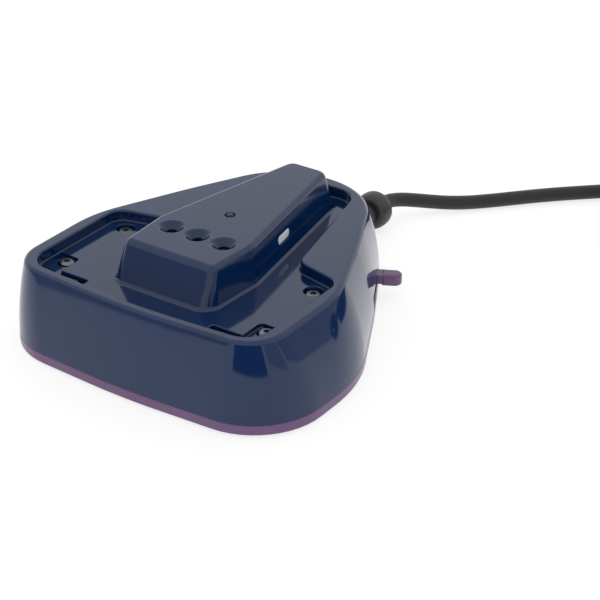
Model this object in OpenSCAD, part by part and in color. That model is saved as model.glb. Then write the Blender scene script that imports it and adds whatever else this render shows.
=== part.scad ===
// Docking and power base of a cordless steam iron: a flared shell with a
// well for the iron, a contact tower in its middle, a locking lever and a lead.
// +Y points from the wide front end to the lead, +Z is up.

/* [Body] */
// Length of the body at its foot, front to rear
body_l = 180; // [150:1:230]
// Width of the body at its foot
body_w = 166; // [135:1:200]
// Height of the rim above the resting surface
rim_h = 46; // [42:1:60]
// Width of the straight part of the rear end at its foot
rear_w = 47; // [36:1:64]
// Distance from the front end to where the sides start to taper
shoulder_l = 71; // [55:1:90]
// Wall thickness of the housing and the base plate
wall = 2.5; // [2:0.1:3.2]
// How far the rim stands in from the foot along the sides
flare_side = 11.5; // [8:0.5:14]
// How far the rim stands in from the foot at the rear
flare_rear = 14; // [10:0.5:17]
// How far the rim stands in from the foot at the front
flare_front = 4.5; // [3:0.5:8]

/* [Well and tower] */
// Depth of the well below the rim
well_d = 5.5; // [4:0.5:8]
// Width of the rim beside the well
rim_w = 7; // [5:0.5:10]
// Height of the tower above the well floor
tower_h = 18.5; // [15:0.5:22]
// Width of the tower top at its front
tower_w = 50.6; // [46:0.2:60]
// Width of the tower top at its rear
tower_rear_w = 21; // [17:0.5:26]
// Diameter of the well screws' counterbores
counterbore_d = 9; // [8:0.5:11]

/* [Contacts] */
// Distance between neighbouring contacts
contact_pitch = 15; // [14:0.5:18]
// Bore of a contact sleeve, for a 6 mm pin
contact_bore = 6.2; // [5:0.1:7]
// Outside diameter of a contact sleeve
sleeve_d = 8.4; // [8:0.1:9.4]
// Diameter of the lead-in funnels at the tower top
funnel_d = 12.6; // [11:0.2:13.4]
// Travel of the presence plunger
plunger_travel = 2.5; // [1.5:0.1:3]
// Diameter of the presence plunger
plunger_d = 3.4; // [2.6:0.1:4]

/* [Lock] */
// Length of the lever's tab outside the wall
tab_l = 12.5; // [9:0.5:16]
// Width of the lever's tab
tab_w = 7; // [5:0.5:9]
// Thickness of the lever's tab
tab_t = 4.8; // [4:0.1:5.4]
// Travel of the lever along the wall
lock_travel = 22; // [14:1:24]
// Sideways travel of the latch bar
latch_travel = 4; // [2.5:0.5:5]

/* [Lead] */
// Diameter of the textile lead
lead_d = 7.5; // [6:0.1:8.4]
// Diameter of the lead guard's bulb
guard_d = 19.6; // [17:0.2:20.4]
// Height of the lead's axis where it leaves the body
lead_z = 10.5; // [10.5:0.5:13]

/* [Fastenings] */
// Shank diameter of the self-tapping screws
screw_d = 3; // [2.5:0.1:3.5]
// Head diameter of the self-tapping screws
head_d = 6.4; // [5.5:0.1:7]
// Diameter of the rubber feet
foot_d = 14; // [10:0.5:16]
// Depth of a foot's recess in the base plate
foot_recess = 1.5; // [1:0.1:1.8]

/* [Clearances] */
// Running clearance round a moving part, on each side
run_clear = 0.3; // [0.2:0.05:0.5]
// Clearance round a screw or a seated part, on each side
fit_clear = 0.05; // [0.03:0.01:0.15]
// How far the feet stand proud of the base plate
foot_proud = 1; // [0.5:0.1:2]

/* [Hidden] */
$fn = 64;
eps = 0.01;

navy = "#14254b";
purple = "#6d4a74";
black = "#2a2a2c";
brass = "#b9a05a";
steel = "#b4b6b8";

plate_z = foot_proud;             // underside of the base plate
seam_z = plate_z + 5;             // joint between base plate and housing
floor_top = plate_z + wall;       // inside face of the base plate's floor
well_z = rim_h - well_d;          // top of the well floor
roof_z = well_z - wall;           // underside of the well floor
tower_z = well_z + tower_h;       // top of the tower
half_l = body_l / 2;
half_w = body_w / 2;
front_bow = 4.5;                  // how far the front edge bows out in its middle
shoulder_y = -half_l + shoulder_l;
rim_half = half_w - flare_side;

// The taper of the sides, from the shoulder to the rear end
taper_run = half_l - shoulder_y;
taper_rise = half_w - rear_w / 2;
taper_angle = atan2(taper_rise, taper_run);

// Frame of the lever: origin on the tapered wall's foot line, X outwards, Y to the rear
lever_y = 50;
lever_x = half_w - (lever_y - shoulder_y) * taper_rise / taper_run;
lever_z = plate_z + 9.5;          // middle of the tab's height
tab_at = 9;                       // tab's place along the wall when it is unlocked
wall_in = 6.4;                    // from the foot line in to behind the housing wall
carriage_l = 26;
carriage_t = 7;
slot_h = tab_t + 2 * run_clear + 0.2;
slot_l = lock_travel + tab_w + 4;
slot_mid = tab_at - lock_travel / 2;
sill_z = lever_z - slot_h / 2;    // top of the base plate's upstand under the slot

// Contacts, plunger and switch
contact_y = -half_l + 59;
plunger_y = contact_y + 25;
top_t = 5;                        // thickness of the tower top round the funnels
seal_t = 1.2;
block_h = 18;
block_w = 2 * contact_pitch + sleeve_d + 5;
block_l = 15;
seal_z = tower_z - top_t;         // top of the seal
block_z = seal_z - seal_t;        // top of the connector block
sleeve_len = 15;
shoulder = 0.5;                   // step in the block that a sleeve stands on
tail_len = 9;
pin_lift = 0.6;                   // how far the plunger's tip stands above the tower
collar_d = plunger_d + 4;
collar_z = seal_z - 0.6;          // top of the plunger's collar at rest
guide_z = collar_z - 13;          // top of the plunger guide
stem_end = guide_z - 5;           // lower end of the plunger
spring_wire = 0.7;
button_h = 3.4;
switch_size = [19.8, 6.4, 10.2];
leg_x = 12;                       // inner face of the plunger guide's legs
switch_top = stem_end - run_clear - button_h + 1;

// Indicator in the tower's right flank
lens_y = contact_y + 35;
lens_z = tower_z - 8.2;
lens_size = [3, 12, 4.2];
flank = atan2((tower_w - tower_rear_w) / 2 + 1.7, 84);
lens_x = tower_w / 2 + 1.7 - (lens_y - contact_y - 6) * tan(flank) + 0.9;

// Fastening points
rear_screw = [54.8 / 71.5 * rim_half, contact_y + 14];
front_screw = [rim_half - 14, -half_l + 33];
slot_x = rim_half - 27.5;         // middle of a latch slot in the well
slot_y = -half_l + 20.5;
pocket_d = 2;                     // how far the well's front corners lie below its floor
pocket_x = front_screw[0] - 5.5;  // inner side of a corner pocket
pocket_y = [slot_y - 2.2, front_screw[1] + 3.4];
base_screw = [18, 34];
foot_front = [half_w - 23, -half_l + 24];
foot_rear = [rear_w / 2 - 5.5, half_l - 17];
boss_d = screw_d + 6;
joint_z = plate_z + 28;           // where housing bosses meet base plate posts
head_t = 2.2;

// Lead, guard and coil
guard_len = 34;
guard_out = half_l + guard_len;   // outer end of the guard
guard_grip = half_l - wall - 2.4;   // inner face that the guard's collar bears on
clamp_y = half_l - 14;
terminal_y = half_l - 25;
lead_r = lead_d / 2;
coil_at = [152, 212];
coil_turns = 3;
coil_layers = 2;
coil_mid = 41;
coil_half = coil_turns * lead_d / 2;
tie_angle = 315;
coil_outer = coil_mid + lead_d;   // radius of the outermost turn's middle
plug_x = coil_at[0] + coil_outer;
plug_r = 18;
plug_z = plug_r + 0.4;
plug_len = 36;
plug_back = 158;                  // where the plug body meets its relief
pin_d = 4.8;
pin_len = 19;
pin_pitch = 19;
relief_len = 26;

// The free lead from the guard to the coil, and from the coil to the plug's relief
lead_route = [
    [0, guard_out, lead_z], [0, 128, 10.5], [1, 133, 10.2], [4, 139, 9.2],
    [9, 145, 7.8], [15, 151, 6.3], [22, 157.5, 5], [29, 164.5, 4.2], [36, 172, 3.9],
    [43, 179.5, 3.9], [52, 189.5, 3.9], [62, 200, 3.9], [73, 210.5, 3.9],
    [84, 220.5, 3.9], [94, 229, 3.9], [101, 234.5, 3.9]
];
coil_exit = concat(
    [for (a = [300:-12:12])
        [coil_at[0] + coil_outer * cos(a), coil_at[1] + coil_outer * sin(a), climb(min(1, (300 - a) / 60))]],
    [[plug_x, 205, 2.5 * lead_d], [plug_x, 197, 2.5 * lead_d], [plug_x, 190, plug_z],
        [plug_x, plug_back + relief_len, plug_z]]
);
// Height of the lead as it rises from the second layer onto the third
function climb(t) = (1.5 + t * t * (3 - 2 * t)) * lead_d;

// ---------- Outlines ----------

function lerp(a, b, t) = a + (b - a) * t;
function unit(v) = v / norm(v);
function turn(a, b) = (b - a + 540) % 360 - 180;

// n + 1 points of the arc that rounds corner b between a and c
function corner(a, b, c, r, n) =
    let (u = unit(a - b), v = unit(c - b), half = acos(u * v) / 2)
    let (mid = b + unit(u + v) * r / sin(half), reach = r / tan(half))
    let (s = b + u * reach - mid, e = b + v * reach - mid)
    let (from = atan2(s[1], s[0]), by = turn(from, atan2(e[1], e[0])))
    [for (i = [0:n]) mid + r * [cos(from + by * i / n), sin(from + by * i / n)]];

// Rounds every [x, y, radius] of a closed outline
function rounded(p, n) = let (k = len(p))
    [for (i = [0:k - 1]) each corner(xy(p[(i + k - 1) % k]), xy(p[i]), xy(p[(i + 1) % k]), p[i][2], n)];
function xy(v) = [v[0], v[1]];

// Both halves of an outline that is given from its front middle to its rear right
function both(h) = concat(h, [for (i = [len(h) - 1:-1:0]) if (h[i][0] > eps) [-h[i][0], h[i][1], h[i][2]]]);

// Moves every corner of an anticlockwise outline inwards by w
function inset(p, w) = let (k = len(p))
    [for (i = [0:k - 1])
        let (b = xy(p[i]), u = unit(xy(p[(i + k - 1) % k]) - b), v = unit(xy(p[(i + 1) % k]) - b))
        let (side = (v[0] * u[1] - v[1] * u[0]) > 0 ? 1 : -1, half = acos(u * v) / 2)
        let (q = b + unit(u + v) * side * w / sin(half))
        [q[0], q[1], max(p[i][2] - side * w, 1)]];

foot_line = both([
    [0, -half_l, 380], [half_w, -half_l + front_bow, 30],
    [half_w, shoulder_y, 80], [rear_w / 2, half_l, rear_fit(rear_w / 2, taper_angle)]
]);
rim_rear_half = rear_w / 2 + 2.6;
rim_line = both([
    [0, -half_l + flare_front, 380], [rim_half, -half_l + flare_front + front_bow, 19],
    [rim_half, shoulder_y - 2, 62],
    [rim_rear_half, half_l - flare_rear, rear_fit(rim_rear_half, taper_angle - 3)]
]);
// Largest radius that rounds the whole rear end
function rear_fit(half, angle) = 0.97 * half / tan((90 - angle) / 2);

// Outline of the body at height z
function level(z) = let (s = max(0, min(1, (z - plate_z) / (rim_h - plate_z))))
    [for (i = [0:len(foot_line) - 1]) lerp(foot_line[i], rim_line[i], s * s)];

well_line = both([
    [0, -half_l + flare_front + rim_w - 2, 380],
    [rim_half - rim_w, -half_l + flare_front + rim_w + 2.5, 12],
    [rim_half - rim_w, rear_screw[1] + 5.5, 5], [tower_w / 2 + 13, rear_screw[1] + 11.5, 5],
    [tower_rear_w / 2 + 11, half_l - 21.5, 12]
]);
tower_foot = both([
    [0, -half_l + 28.5, 300], [tower_w / 2 + 3.2, -half_l + 28.8, 8],
    [tower_w / 2 + 4.8, contact_y + 4, 16], [tower_rear_w / 2 + 3.6, half_l - 27, 8]
]);
tower_top = both([
    [0, -half_l + 37.3, 300], [tower_w / 2, -half_l + 37.5, 3],
    [tower_w / 2 + 1.7, contact_y + 6, 12], [tower_rear_w / 2, half_l - 31, 5]
]);

// ---------- Solids from outlines ----------

function ring(p, z, n) = [for (q = rounded(p, n)) [q[0], q[1], z]];

// Closed skin through rings that all have the same number of points
module skin(rings) {
    n = len(rings[0]);
    m = len(rings);
    sides = [for (j = [0:m - 2], i = [0:n - 1])
        let (a = j * n + i, b = j * n + (i + 1) % n)
        each [[a, a + n, b], [b, a + n, b + n]]];
    polyhedron(
        points = [for (r = rings) each r],
        faces = concat([[for (i = [0:n - 1]) i]], sides, [[for (i = [n - 1:-1:0]) (m - 1) * n + i]])
    );
}

// The body's outside between two heights, moved in by w
module body_skin(z0, z1, w, steps) {
    skin([for (i = [0:steps]) let (z = lerp(z0, z1, i / steps)) ring(inset(level(z), w), z, 6)]);
}

module tower_skin(z0, z1, w, steps) {
    skin([for (i = [0:steps])
        let (z = lerp(z0, z1, i / steps), t = (z - well_z) / tower_h)
        ring(inset([for (k = [0:len(tower_foot) - 1]) lerp(tower_foot[k], tower_top[k], t)], w), z, 6)]);
}

// Places its children in the lever's frame
module at_lever() {
    translate([lever_x, lever_y, 0]) rotate([0, 0, taper_angle]) children();
}

// A round tube of radius r along a route, with k sides
function ahead(p, i) = unit(p[min(i + 1, len(p) - 1)] - p[max(i - 1, 0)]);
function across(t) = unit(cross(abs(t[2]) > 0.9 ? [1, 0, 0] : [0, 0, 1], t));
module tube(p, r, k) {
    skin([for (i = [0:len(p) - 1])
        let (t = ahead(p, i), u = across(t), v = cross(t, u))
        [for (j = [0:k - 1]) p[i] - r * (u * cos(360 * j / k) - v * sin(360 * j / k))]]);
}

// A smooth route through a few points, n steps to each stretch
function spline(p, n) = let (m = len(p) - 1)
    concat([for (i = [0:m - 1], s = [0:n - 1])
        let (a = p[max(i - 1, 0)], b = p[i], c = p[i + 1], d = p[min(i + 2, m)], t = s / n)
        ((2 * b) + (c - a) * t + (2 * a - 5 * b + 4 * c - d) * t * t
            + (3 * b - a - 3 * c + d) * t * t * t) / 2], [p[m]]);

// Plain screw, head up, head's underside at z = 0
module screw(len, head = head_d, top = head_t) {
    difference() {
        cylinder(d = head, h = top);
        translate([0, 0, top - 1.1]) star_recess(1.2);
    }
    translate([0, 0, -len]) cylinder(d = screw_d, h = len);
}

// Small pan-head screw, head's underside at z = 0
module small_screw(len) {
    cylinder(d = 4, h = 1.4);
    translate([0, 0, -len]) cylinder(d = 2, h = len + eps);
}

module star_recess(h) {
    for (a = [0, 60, 120]) rotate(a) translate([-1.6, -0.5, 0]) cube([3.2, 1, h]);
}

module both_sides(p) {
    for (s = [-1, 1]) translate([s * p[0], p[1], 0]) children();
}

// ---------- Shell ----------

module upper_housing() color(navy) {
    difference() {
        body_skin(seam_z, rim_h, 0, 10);
        difference() {
            body_skin(seam_z - eps, roof_z, wall, 8);
            housing_bosses();
        }
        translate([0, 0, well_z]) linear_extrude(well_d + 1) polygon(rounded(well_line, 6));
        tower_seat(roof_z - 1, wall + 2);
        well_holes();
        lever_opening();
        guard_opening();
    }
}

// Prism on the tower's foot line, where the tower is let into the well floor
module tower_seat(z, h) {
    translate([0, 0, z]) linear_extrude(h) polygon(rounded(tower_foot, 6));
}

// The tower's sides, let into the well floor
module tower_wall() color(navy) {
    difference() {
        union() {
            tower_skin(well_z, seal_z, 0, 3);
            tower_seat(roof_z, wall);
        }
        tower_skin(roof_z - 1, tower_z - wall, wall, 3);
        lens_hole(fit_clear);
    }
}

// The tower's top with the contact funnels, welded to the sides
module tower_top_plate() color(navy) {
    difference() {
        union() {
            tower_skin(seal_z, tower_z, 0, 2);
            guide_bosses();
        }
        difference() {
            tower_skin(seal_z - 1, tower_z - wall, wall, 2);
            tower_bosses();
        }
        tower_holes();
    }
}

module guide_bosses() {
    for (s = [-1, 1]) translate([s * 10, plunger_y, guide_z]) cylinder(d = 6, h = seal_z - guide_z + 1);
}

module housing_bosses() {
    for (s = [-1, 1]) translate([s * (pocket_x + 6.5), (pocket_y[0] + pocket_y[1]) / 2, roof_z - pocket_d])
        linear_extrude(pocket_d + 1) square([17, pocket_y[1] - pocket_y[0] + 3], center = true);
    for (p = [rear_screw, front_screw])
        both_sides(p) translate([0, 0, joint_z]) cylinder(d = boss_d + 2, h = rim_h);
    both_sides(base_screw) translate([0, 0, floor_top + 9]) cylinder(d = boss_d, h = rim_h);
}

// Thick places under the tower top, for the funnels and the plunger
module tower_bosses() {
    translate([-block_w / 2, contact_y - block_l / 2, seal_z]) cube([block_w, block_l, top_t]);
    translate([0, plunger_y, seal_z]) cylinder(d = collar_d + 4, h = top_t);
    guide_bosses();
    for (s = [-1, 1]) translate([s * 10, plunger_y, seal_z]) cylinder(d = 6, h = top_t);
}

module tower_holes() {
    for (i = [-1:1]) translate([i * contact_pitch, contact_y, seal_z - eps]) {
        translate([0, 0, 0.8]) cylinder(d1 = contact_bore + 0.8, d2 = funnel_d, h = top_t - 0.8 + 2 * eps);
        cylinder(d = contact_bore + 0.8, h = 1);
    }
    for (s = [-1, 1]) translate([s * contact_pitch / 2, contact_y, seal_z - eps])
        cylinder(d = screw_d - 0.5 + 2 * fit_clear, h = 3);
    translate([0, plunger_y, seal_z - eps]) cylinder(d = plunger_d + 2 * run_clear, h = top_t + 1);
    translate([0, plunger_y, tower_z - 0.8]) cylinder(d = plunger_d + 3, h = 1);
    for (s = [-1, 1]) translate([s * 10, plunger_y, guide_z - eps]) cylinder(d = 2.6, h = 8);
}

module well_holes() {
    for (s = [-1, 1]) intersection() {
        translate([0, 0, well_z - pocket_d]) linear_extrude(pocket_d + 1) polygon(rounded(well_line, 6));
        translate([s * (pocket_x + 10), (pocket_y[0] + pocket_y[1]) / 2, roof_z]) linear_extrude(rim_h)
            offset(r = 2.4, $fn = 32) square([15.2, pocket_y[1] - pocket_y[0] - 4.8], center = true);
    }
    for (p = [rear_screw, front_screw]) both_sides(p) {
        translate([0, 0, well_z - 4]) cylinder(d = counterbore_d, h = 5);
        translate([0, 0, joint_z - 1]) cylinder(d = screw_d + 2 * fit_clear, h = well_z - joint_z);
    }
    both_sides(base_screw) translate([0, 0, floor_top + 8]) cylinder(d = screw_d + 2 * fit_clear, h = 13);
    for (s = [-1, 1]) translate([s * slot_x - 8.5, slot_y - 2.2, roof_z - pocket_d - 1])
        cube([17, 4.4, wall + pocket_d + 2]);
}

module lens_hole(gap) {
    translate([lens_x, lens_y, lens_z]) rotate([0, 0, flank])
        lens_shape(lens_size[0] + 3, gap);
}

module lens_shape(depth, gap) {
    translate([-depth, 0, 0]) rotate([90, 0, 90]) linear_extrude(depth)
        offset(delta = gap) union() {
            square([lens_size[1] - lens_size[2], lens_size[2]], center = true);
            for (s = [-1, 1]) translate([s * (lens_size[1] - lens_size[2]) / 2, 0])
                circle(d = lens_size[2], $fn = 24);
        }
}

module lever_opening() {
    at_lever() translate([-wall_in - 1, slot_mid - slot_l / 2, seam_z - 1])
        cube([wall_in + 8, slot_l, lever_z + slot_h / 2 - seam_z + 1]);
}

module guard_opening() {
    translate([0, half_l + 3, lead_z]) rotate([90, 0, 0]) cylinder(d = 14, h = 12);
}

module base_plate() color(purple) {
    difference() {
        union() {
            difference() {
                body_skin(plate_z, seam_z, 0, 3);
                body_skin(floor_top, seam_z + eps, wall, 2);
            }
            lever_sill();
            base_posts();
            lever_rails();
            latch_guides();
            clamp_seat();
        }
        foot_holes();
        both_sides(base_screw) {
            translate([0, 0, -eps]) cylinder(d = head_d + 0.6, h = plate_z + head_t + 0.2 + eps);
            cylinder(d = screw_d + 2 * fit_clear, h = 14);
        }
        post_holes();
        guard_opening();
        translate([0, guard_grip + 0.1, lead_z]) rotate([90, 0, 0]) cylinder(d = 16.8, h = 3.2);
    }
}

// Upstand that fills the housing's cut-out up to the underside of the slot
module lever_sill() {
    intersection() {
        difference() {
            body_skin(seam_z - 1, sill_z, 0, 2);
            body_skin(seam_z - 1 - eps, sill_z + eps, wall, 2);
        }
        at_lever() translate([-wall_in - 1, slot_mid - slot_l / 2 + fit_clear, seam_z - 1])
            cube([wall_in + 8, slot_l - 2 * fit_clear, sill_z - seam_z + 1]);
    }
}

module base_posts() {
    for (p = [rear_screw, front_screw])
        both_sides(p) translate([0, 0, floor_top - eps]) cylinder(d = boss_d, h = joint_z - floor_top);
    both_sides(base_screw) translate([0, 0, floor_top - eps]) cylinder(d = boss_d, h = 9);
    for (p = concat(keeper_points, [detent_at])) at_lever() translate([p[0], p[1], floor_top - eps])
        cylinder(d = 6, h = keeper_z - floor_top + eps);
    for (s = [-1, 1]) translate([s * 15, terminal_y, floor_top - eps]) cylinder(d = 4, h = 5);
}

module post_holes() {
    for (p = [rear_screw, front_screw])
        both_sides(p) translate([0, 0, joint_z - 14]) cylinder(d = screw_d + 2 * fit_clear, h = 15);
    for (p = concat(keeper_points, [detent_at])) at_lever() translate([p[0], p[1], keeper_z - 6])
        cylinder(d = 2.1, h = 7);
    for (s = [-1, 1]) translate([s * clamp_half, clamp_y, floor_top])
        cylinder(d = screw_d + 2 * fit_clear, h = 14);
}

module foot_holes() {
    for (p = [foot_front, foot_rear]) both_sides(p)
        translate([0, 0, -eps]) cylinder(d = foot_d + 2 * fit_clear, h = plate_z + foot_recess + eps);
}

module foot(p) color(black) translate([p[0], p[1], 0]) {
    cylinder(d1 = foot_d - 1.2, d2 = foot_d, h = 0.6, $fn = 64);
    translate([0, 0, 0.6]) cylinder(d = foot_d, h = plate_z + foot_recess - 0.6);
}

module well_screws() color(steel) {
    for (p = [rear_screw, front_screw])
        both_sides(p) translate([0, 0, well_z - 4]) screw(well_z - 4 - joint_z + 13);
}

module base_screws() color(steel) {
    both_sides(base_screw) translate([0, 0, plate_z + head_t + 0.2]) rotate([180, 0, 0]) screw(16);
}

// ---------- Lock ----------

tab_end = tab_l - tab_w / 2 + 1;   // centre of the tab's round end
carriage_in = wall_in + carriage_t;
carriage_z = lever_z - 2.6;
carriage_h = 5.2;
keeper_z = carriage_z + carriage_h + run_clear;
keeper_points = [[-carriage_in - 5.5, slot_mid - 15], [-carriage_in - 5.5, slot_mid + 15]];
keeper_t = 1.6;
detent_at = [-carriage_in - 5.5, slot_mid];
detent_t = 0.5;

// The lever's drive pin stands in a slanted slot of the latch bar's arm
pin_local = [-carriage_in + 1.6, tab_at];
pin_at = [lever_x + pin_local[0] * cos(taper_angle) - pin_local[1] * sin(taper_angle),
    lever_y + pin_local[0] * sin(taper_angle) + pin_local[1] * cos(taper_angle)];
pin_slide = [lock_travel * sin(taper_angle) - latch_travel, -lock_travel * cos(taper_angle)];
drive_d = 2.6;

// Purple tab, neck through the slot and carriage behind the wall
module lock_lever() color(purple) at_lever() translate([0, tab_at, 0]) {
    difference() {
        union() {
            translate([-wall_in, -tab_w / 2, lever_z - tab_t / 2]) cube([wall_in + tab_end, tab_w, tab_t]);
            translate([tab_end, 0, lever_z - tab_t / 2]) cylinder(d = tab_w, h = tab_t);
            translate([-carriage_in, -carriage_l / 2, carriage_z]) cube([carriage_t, carriage_l, carriage_h]);
            translate([pin_local[0], 0, carriage_z])
                cylinder(d = drive_d, h = bar_z + bar_t + 0.6 - carriage_z);
        }
        for (s = [-1, 1]) translate([-carriage_in + 3, s * 9, carriage_z - eps])
            cylinder(d = 2.4, h = carriage_h + 1);
    }
}

// Ribs that the carriage slides along
module lever_rails() at_lever() {
    rail_l = carriage_l + lock_travel + 8;
    translate([-carriage_in - run_clear - 1.6, slot_mid - rail_l / 2, floor_top - eps])
        cube([1.6, rail_l, carriage_z - floor_top + 1.2]);
    for (x = [-carriage_in + 0.6, -wall_in - 2.2]) translate([x, slot_mid - rail_l / 2, floor_top - eps])
        cube([1.6, rail_l, carriage_z - floor_top - run_clear]);
}

// Two clips that reach over the carriage
module lever_keepers() color(black) at_lever() {
    for (p = keeper_points) translate([p[0], p[1], keeper_z]) difference() {
        union() {
            cylinder(d = 7, h = keeper_t);
            translate([0, -2.5, 0]) cube([carriage_t + 3, 5, keeper_t]);
        }
        translate([0, 0, -1]) cylinder(d = 2.4, h = 4);
    }
}

module keeper_screws() color(steel) at_lever() {
    for (p = keeper_points) translate([p[0], p[1], keeper_z + keeper_t]) small_screw(6.4);
}

bar_z = keeper_z + 4.4;
arm_x = pin_at[0] + pin_slide[0] - 0.5;
arm_w = 8;
guide_gap = 1.7;                  // between the arm and the rib beside it
arm_half = drive_d / 2 + run_clear + 1.6;
bar_t = 2.4;
hook_z = roof_z - 0.6;

// Bar across the front with a hook under each slot of the well, and an arm to the lever
module latch_bar() color(black) {
    difference() {
        union() {
            translate([-slot_x - 9, slot_y - 4, bar_z]) cube([2 * slot_x + 18, 8, bar_t]);
            translate([arm_x - arm_w / 2, slot_y - 4, bar_z])
                cube([arm_w, pin_at[1] + pin_slide[1] - slot_y + 5, bar_t]);
            along_slot() translate([-4, -arm_half, 0]) cube([norm(pin_slide) + 6, 2 * arm_half, bar_t]);
            for (s = [-1, 1]) translate([s * slot_x - 3, slot_y - 1.2, bar_z]) {
                cube([6, 2.4, hook_z - bar_z + 1.5]);
                translate([3, 0, hook_z - bar_z - 0.7]) cube([3, 2.4, 2.2]);
            }
        }
        along_slot() translate([-drive_d / 2 - run_clear, -drive_d / 2 - run_clear, -1])
            cube([norm(pin_slide) + drive_d + 2 * run_clear, drive_d + 2 * run_clear, bar_t + 2]);
    }
}

module along_slot() {
    translate([pin_at[0], pin_at[1], bar_z]) rotate([0, 0, atan2(pin_slide[1], pin_slide[0])]) children();
}

// Upright ribs that the latch bar rests on
module latch_guides() {
    for (x = [-slot_x + 14, arm_x - arm_w / 2 - guide_gap - 1]) translate([x - 1, slot_y - 8, floor_top - eps]) {
        cube([2, 16, bar_z - floor_top - run_clear]);
        for (y = [0, 12.6]) translate([0, y, 0]) cube([2, 3.4, bar_z - floor_top + bar_t]);
    }
    translate([arm_x - 10, 8, floor_top - eps]) cube([20, 2, bar_z - floor_top - run_clear]);
}

// Flat spring whose tip bears on the inner side of the lever's carriage
module detent_spring() color(steel) at_lever() {
    translate([detent_at[0], detent_at[1], keeper_z]) difference() {
        union() {
            cylinder(d = 6.4, h = detent_t);
            translate([0, -2, 0]) cube([-carriage_in - run_clear - detent_at[0], 4, detent_t]);
        }
        translate([0, 0, -1]) cylinder(d = 2.4, h = 3);
    }
}

module detent_screw() color(steel) at_lever() {
    translate([detent_at[0], detent_at[1], keeper_z + detent_t]) small_screw(6);
}

// ---------- Contacts ----------

module connector_block() color(black) {
    difference() {
        translate([-block_w / 2, contact_y - block_l / 2, block_z - block_h])
            cube([block_w, block_l, block_h]);
        for (i = [-1:1]) translate([i * contact_pitch, contact_y, 0]) {
            translate([0, 0, block_z - sleeve_len])
                cylinder(d = sleeve_d + 2 * fit_clear, h = sleeve_len + 1);
            translate([0, 0, block_z - block_h - 1]) cylinder(d = sleeve_d - 2 * shoulder, h = block_h);
        }
        for (s = [-1, 1]) translate([s * contact_pitch / 2, contact_y, block_z - block_h - 1])
            cylinder(d = screw_d - 0.5 + 2 * fit_clear, h = block_h + 2);
    }
}

module connector_screws() color(steel) {
    for (s = [-1, 1]) translate([s * contact_pitch / 2, contact_y, block_z - block_h]) {
        translate([0, 0, -1.8]) cylinder(d = 5, h = 1.8);
        cylinder(d = screw_d - 0.5, h = block_h + seal_t + 2.8);
    }
}

module contact_seal() color("#c9ccd0") {
    difference() {
        translate([-block_w / 2, contact_y - block_l / 2, block_z]) cube([block_w, block_l, seal_t]);
        for (i = [-1:1]) translate([i * contact_pitch, contact_y, block_z - 1])
            cylinder(d = contact_bore + 0.6, h = 4);
        for (s = [-1, 1]) translate([s * contact_pitch / 2, contact_y, block_z - 1])
            cylinder(d = screw_d - 0.5 + 2 * fit_clear, h = 4);
    }
}

module contact(i) color(brass) translate([i * contact_pitch, contact_y, block_z - sleeve_len]) {
    difference() {
        cylinder(d = sleeve_d, h = sleeve_len);
        translate([0, 0, 1.5]) cylinder(d = contact_bore, h = sleeve_len);
    }
    translate([-3.15, -0.4, -tail_len]) cube([6.3, 0.8, tail_len + eps]);
}

// ---------- Plunger and switch ----------

module presence_plunger() color(black) translate([0, plunger_y, 0]) {
    translate([0, 0, stem_end]) cylinder(d = plunger_d, h = tower_z + pin_lift - 1 - stem_end);
    translate([0, 0, tower_z + pin_lift - 1 - eps]) intersection() {
        cylinder(d = plunger_d, h = 1);
        translate([0, 0, -1.2]) sphere(r = 2.2);
    }
    translate([0, 0, collar_z - 1.6]) cylinder(d = collar_d, h = 1.6);
}

spring_r = (plunger_d + 2.2) / 2;
spring_top = collar_z - 1.6 - 0.05;
module plunger_spring() color(steel) translate([0, plunger_y, 0]) {
    turns = 5;
    lift = spring_top - guide_z - spring_wire - 0.1;
    tube([for (a = [0:30:360 * turns])
        [spring_r * cos(a), spring_r * sin(a), guide_z + spring_wire / 2 + 0.05 + lift * a / (360 * turns)]],
        spring_wire / 2, 6);
}

module plunger_guide() color(black) {
    difference() {
        translate([-14, plunger_y - 4, guide_z - 2.5]) cube([28, 8, 2.5]);
        translate([0, plunger_y, guide_z - 5]) cylinder(d = plunger_d + 2 * run_clear, h = 8);
        for (s = [-1, 1]) translate([s * 10, plunger_y, guide_z - 5]) cylinder(d = 2.7, h = 8);
    }
    for (s = [-1, 1]) translate([s * (leg_x + 1) - 1, plunger_y - 4, guide_z - 18]) cube([2, 8, 16]);
}

module guide_screws() color(steel) {
    for (s = [-1, 1]) translate([s * 10, plunger_y, guide_z - 2.5]) {
        translate([0, 0, -1.5]) cylinder(d = 3.8, h = 1.5);
        cylinder(d = 2.5, h = 9);
    }
}

module microswitch_body() color(black) {
    difference() {
        union() {
            translate([-switch_size[0] / 2, plunger_y - switch_size[1] / 2, switch_top - switch_size[2]])
                cube(switch_size);
            translate([-leg_x, plunger_y - 2.5, switch_top - switch_size[2]]) cube([2 * leg_x, 5, 4]);
        }
        translate([0, plunger_y, switch_top - 4.4]) cylinder(d = 4 + 2 * run_clear, h = 6);
    }
}

module microswitch_button() color("#c8342e") translate([0, plunger_y, switch_top - 1]) {
    cylinder(d = 4, h = button_h);
}

module microswitch_terminals() color(brass) {
    for (x = [-7, 0, 7]) translate([x - 1.5, plunger_y - 0.25, switch_top - switch_size[2] - 5])
        cube([3, 0.5, 5]);
}

// ---------- Indicator ----------

module indicator_lens() color("#dfe3e6") translate([lens_x, lens_y, lens_z]) rotate([0, 0, flank])
    lens_shape(lens_size[0], 0);

module indicator_led() color("#f2f0e4") translate([lens_x, lens_y, lens_z]) rotate([0, 0, flank])
    translate([-lens_size[0] - 4.2, 0, 0]) rotate([0, 90, 0]) {
        cylinder(d = 3, h = 2.6);
        translate([0, 0, 2.6]) intersection() {
            sphere(d = 3);
            cylinder(d = 3.1, h = 1.6);
        }
        cylinder(d = 3.8, h = 0.8);
    }

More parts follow.
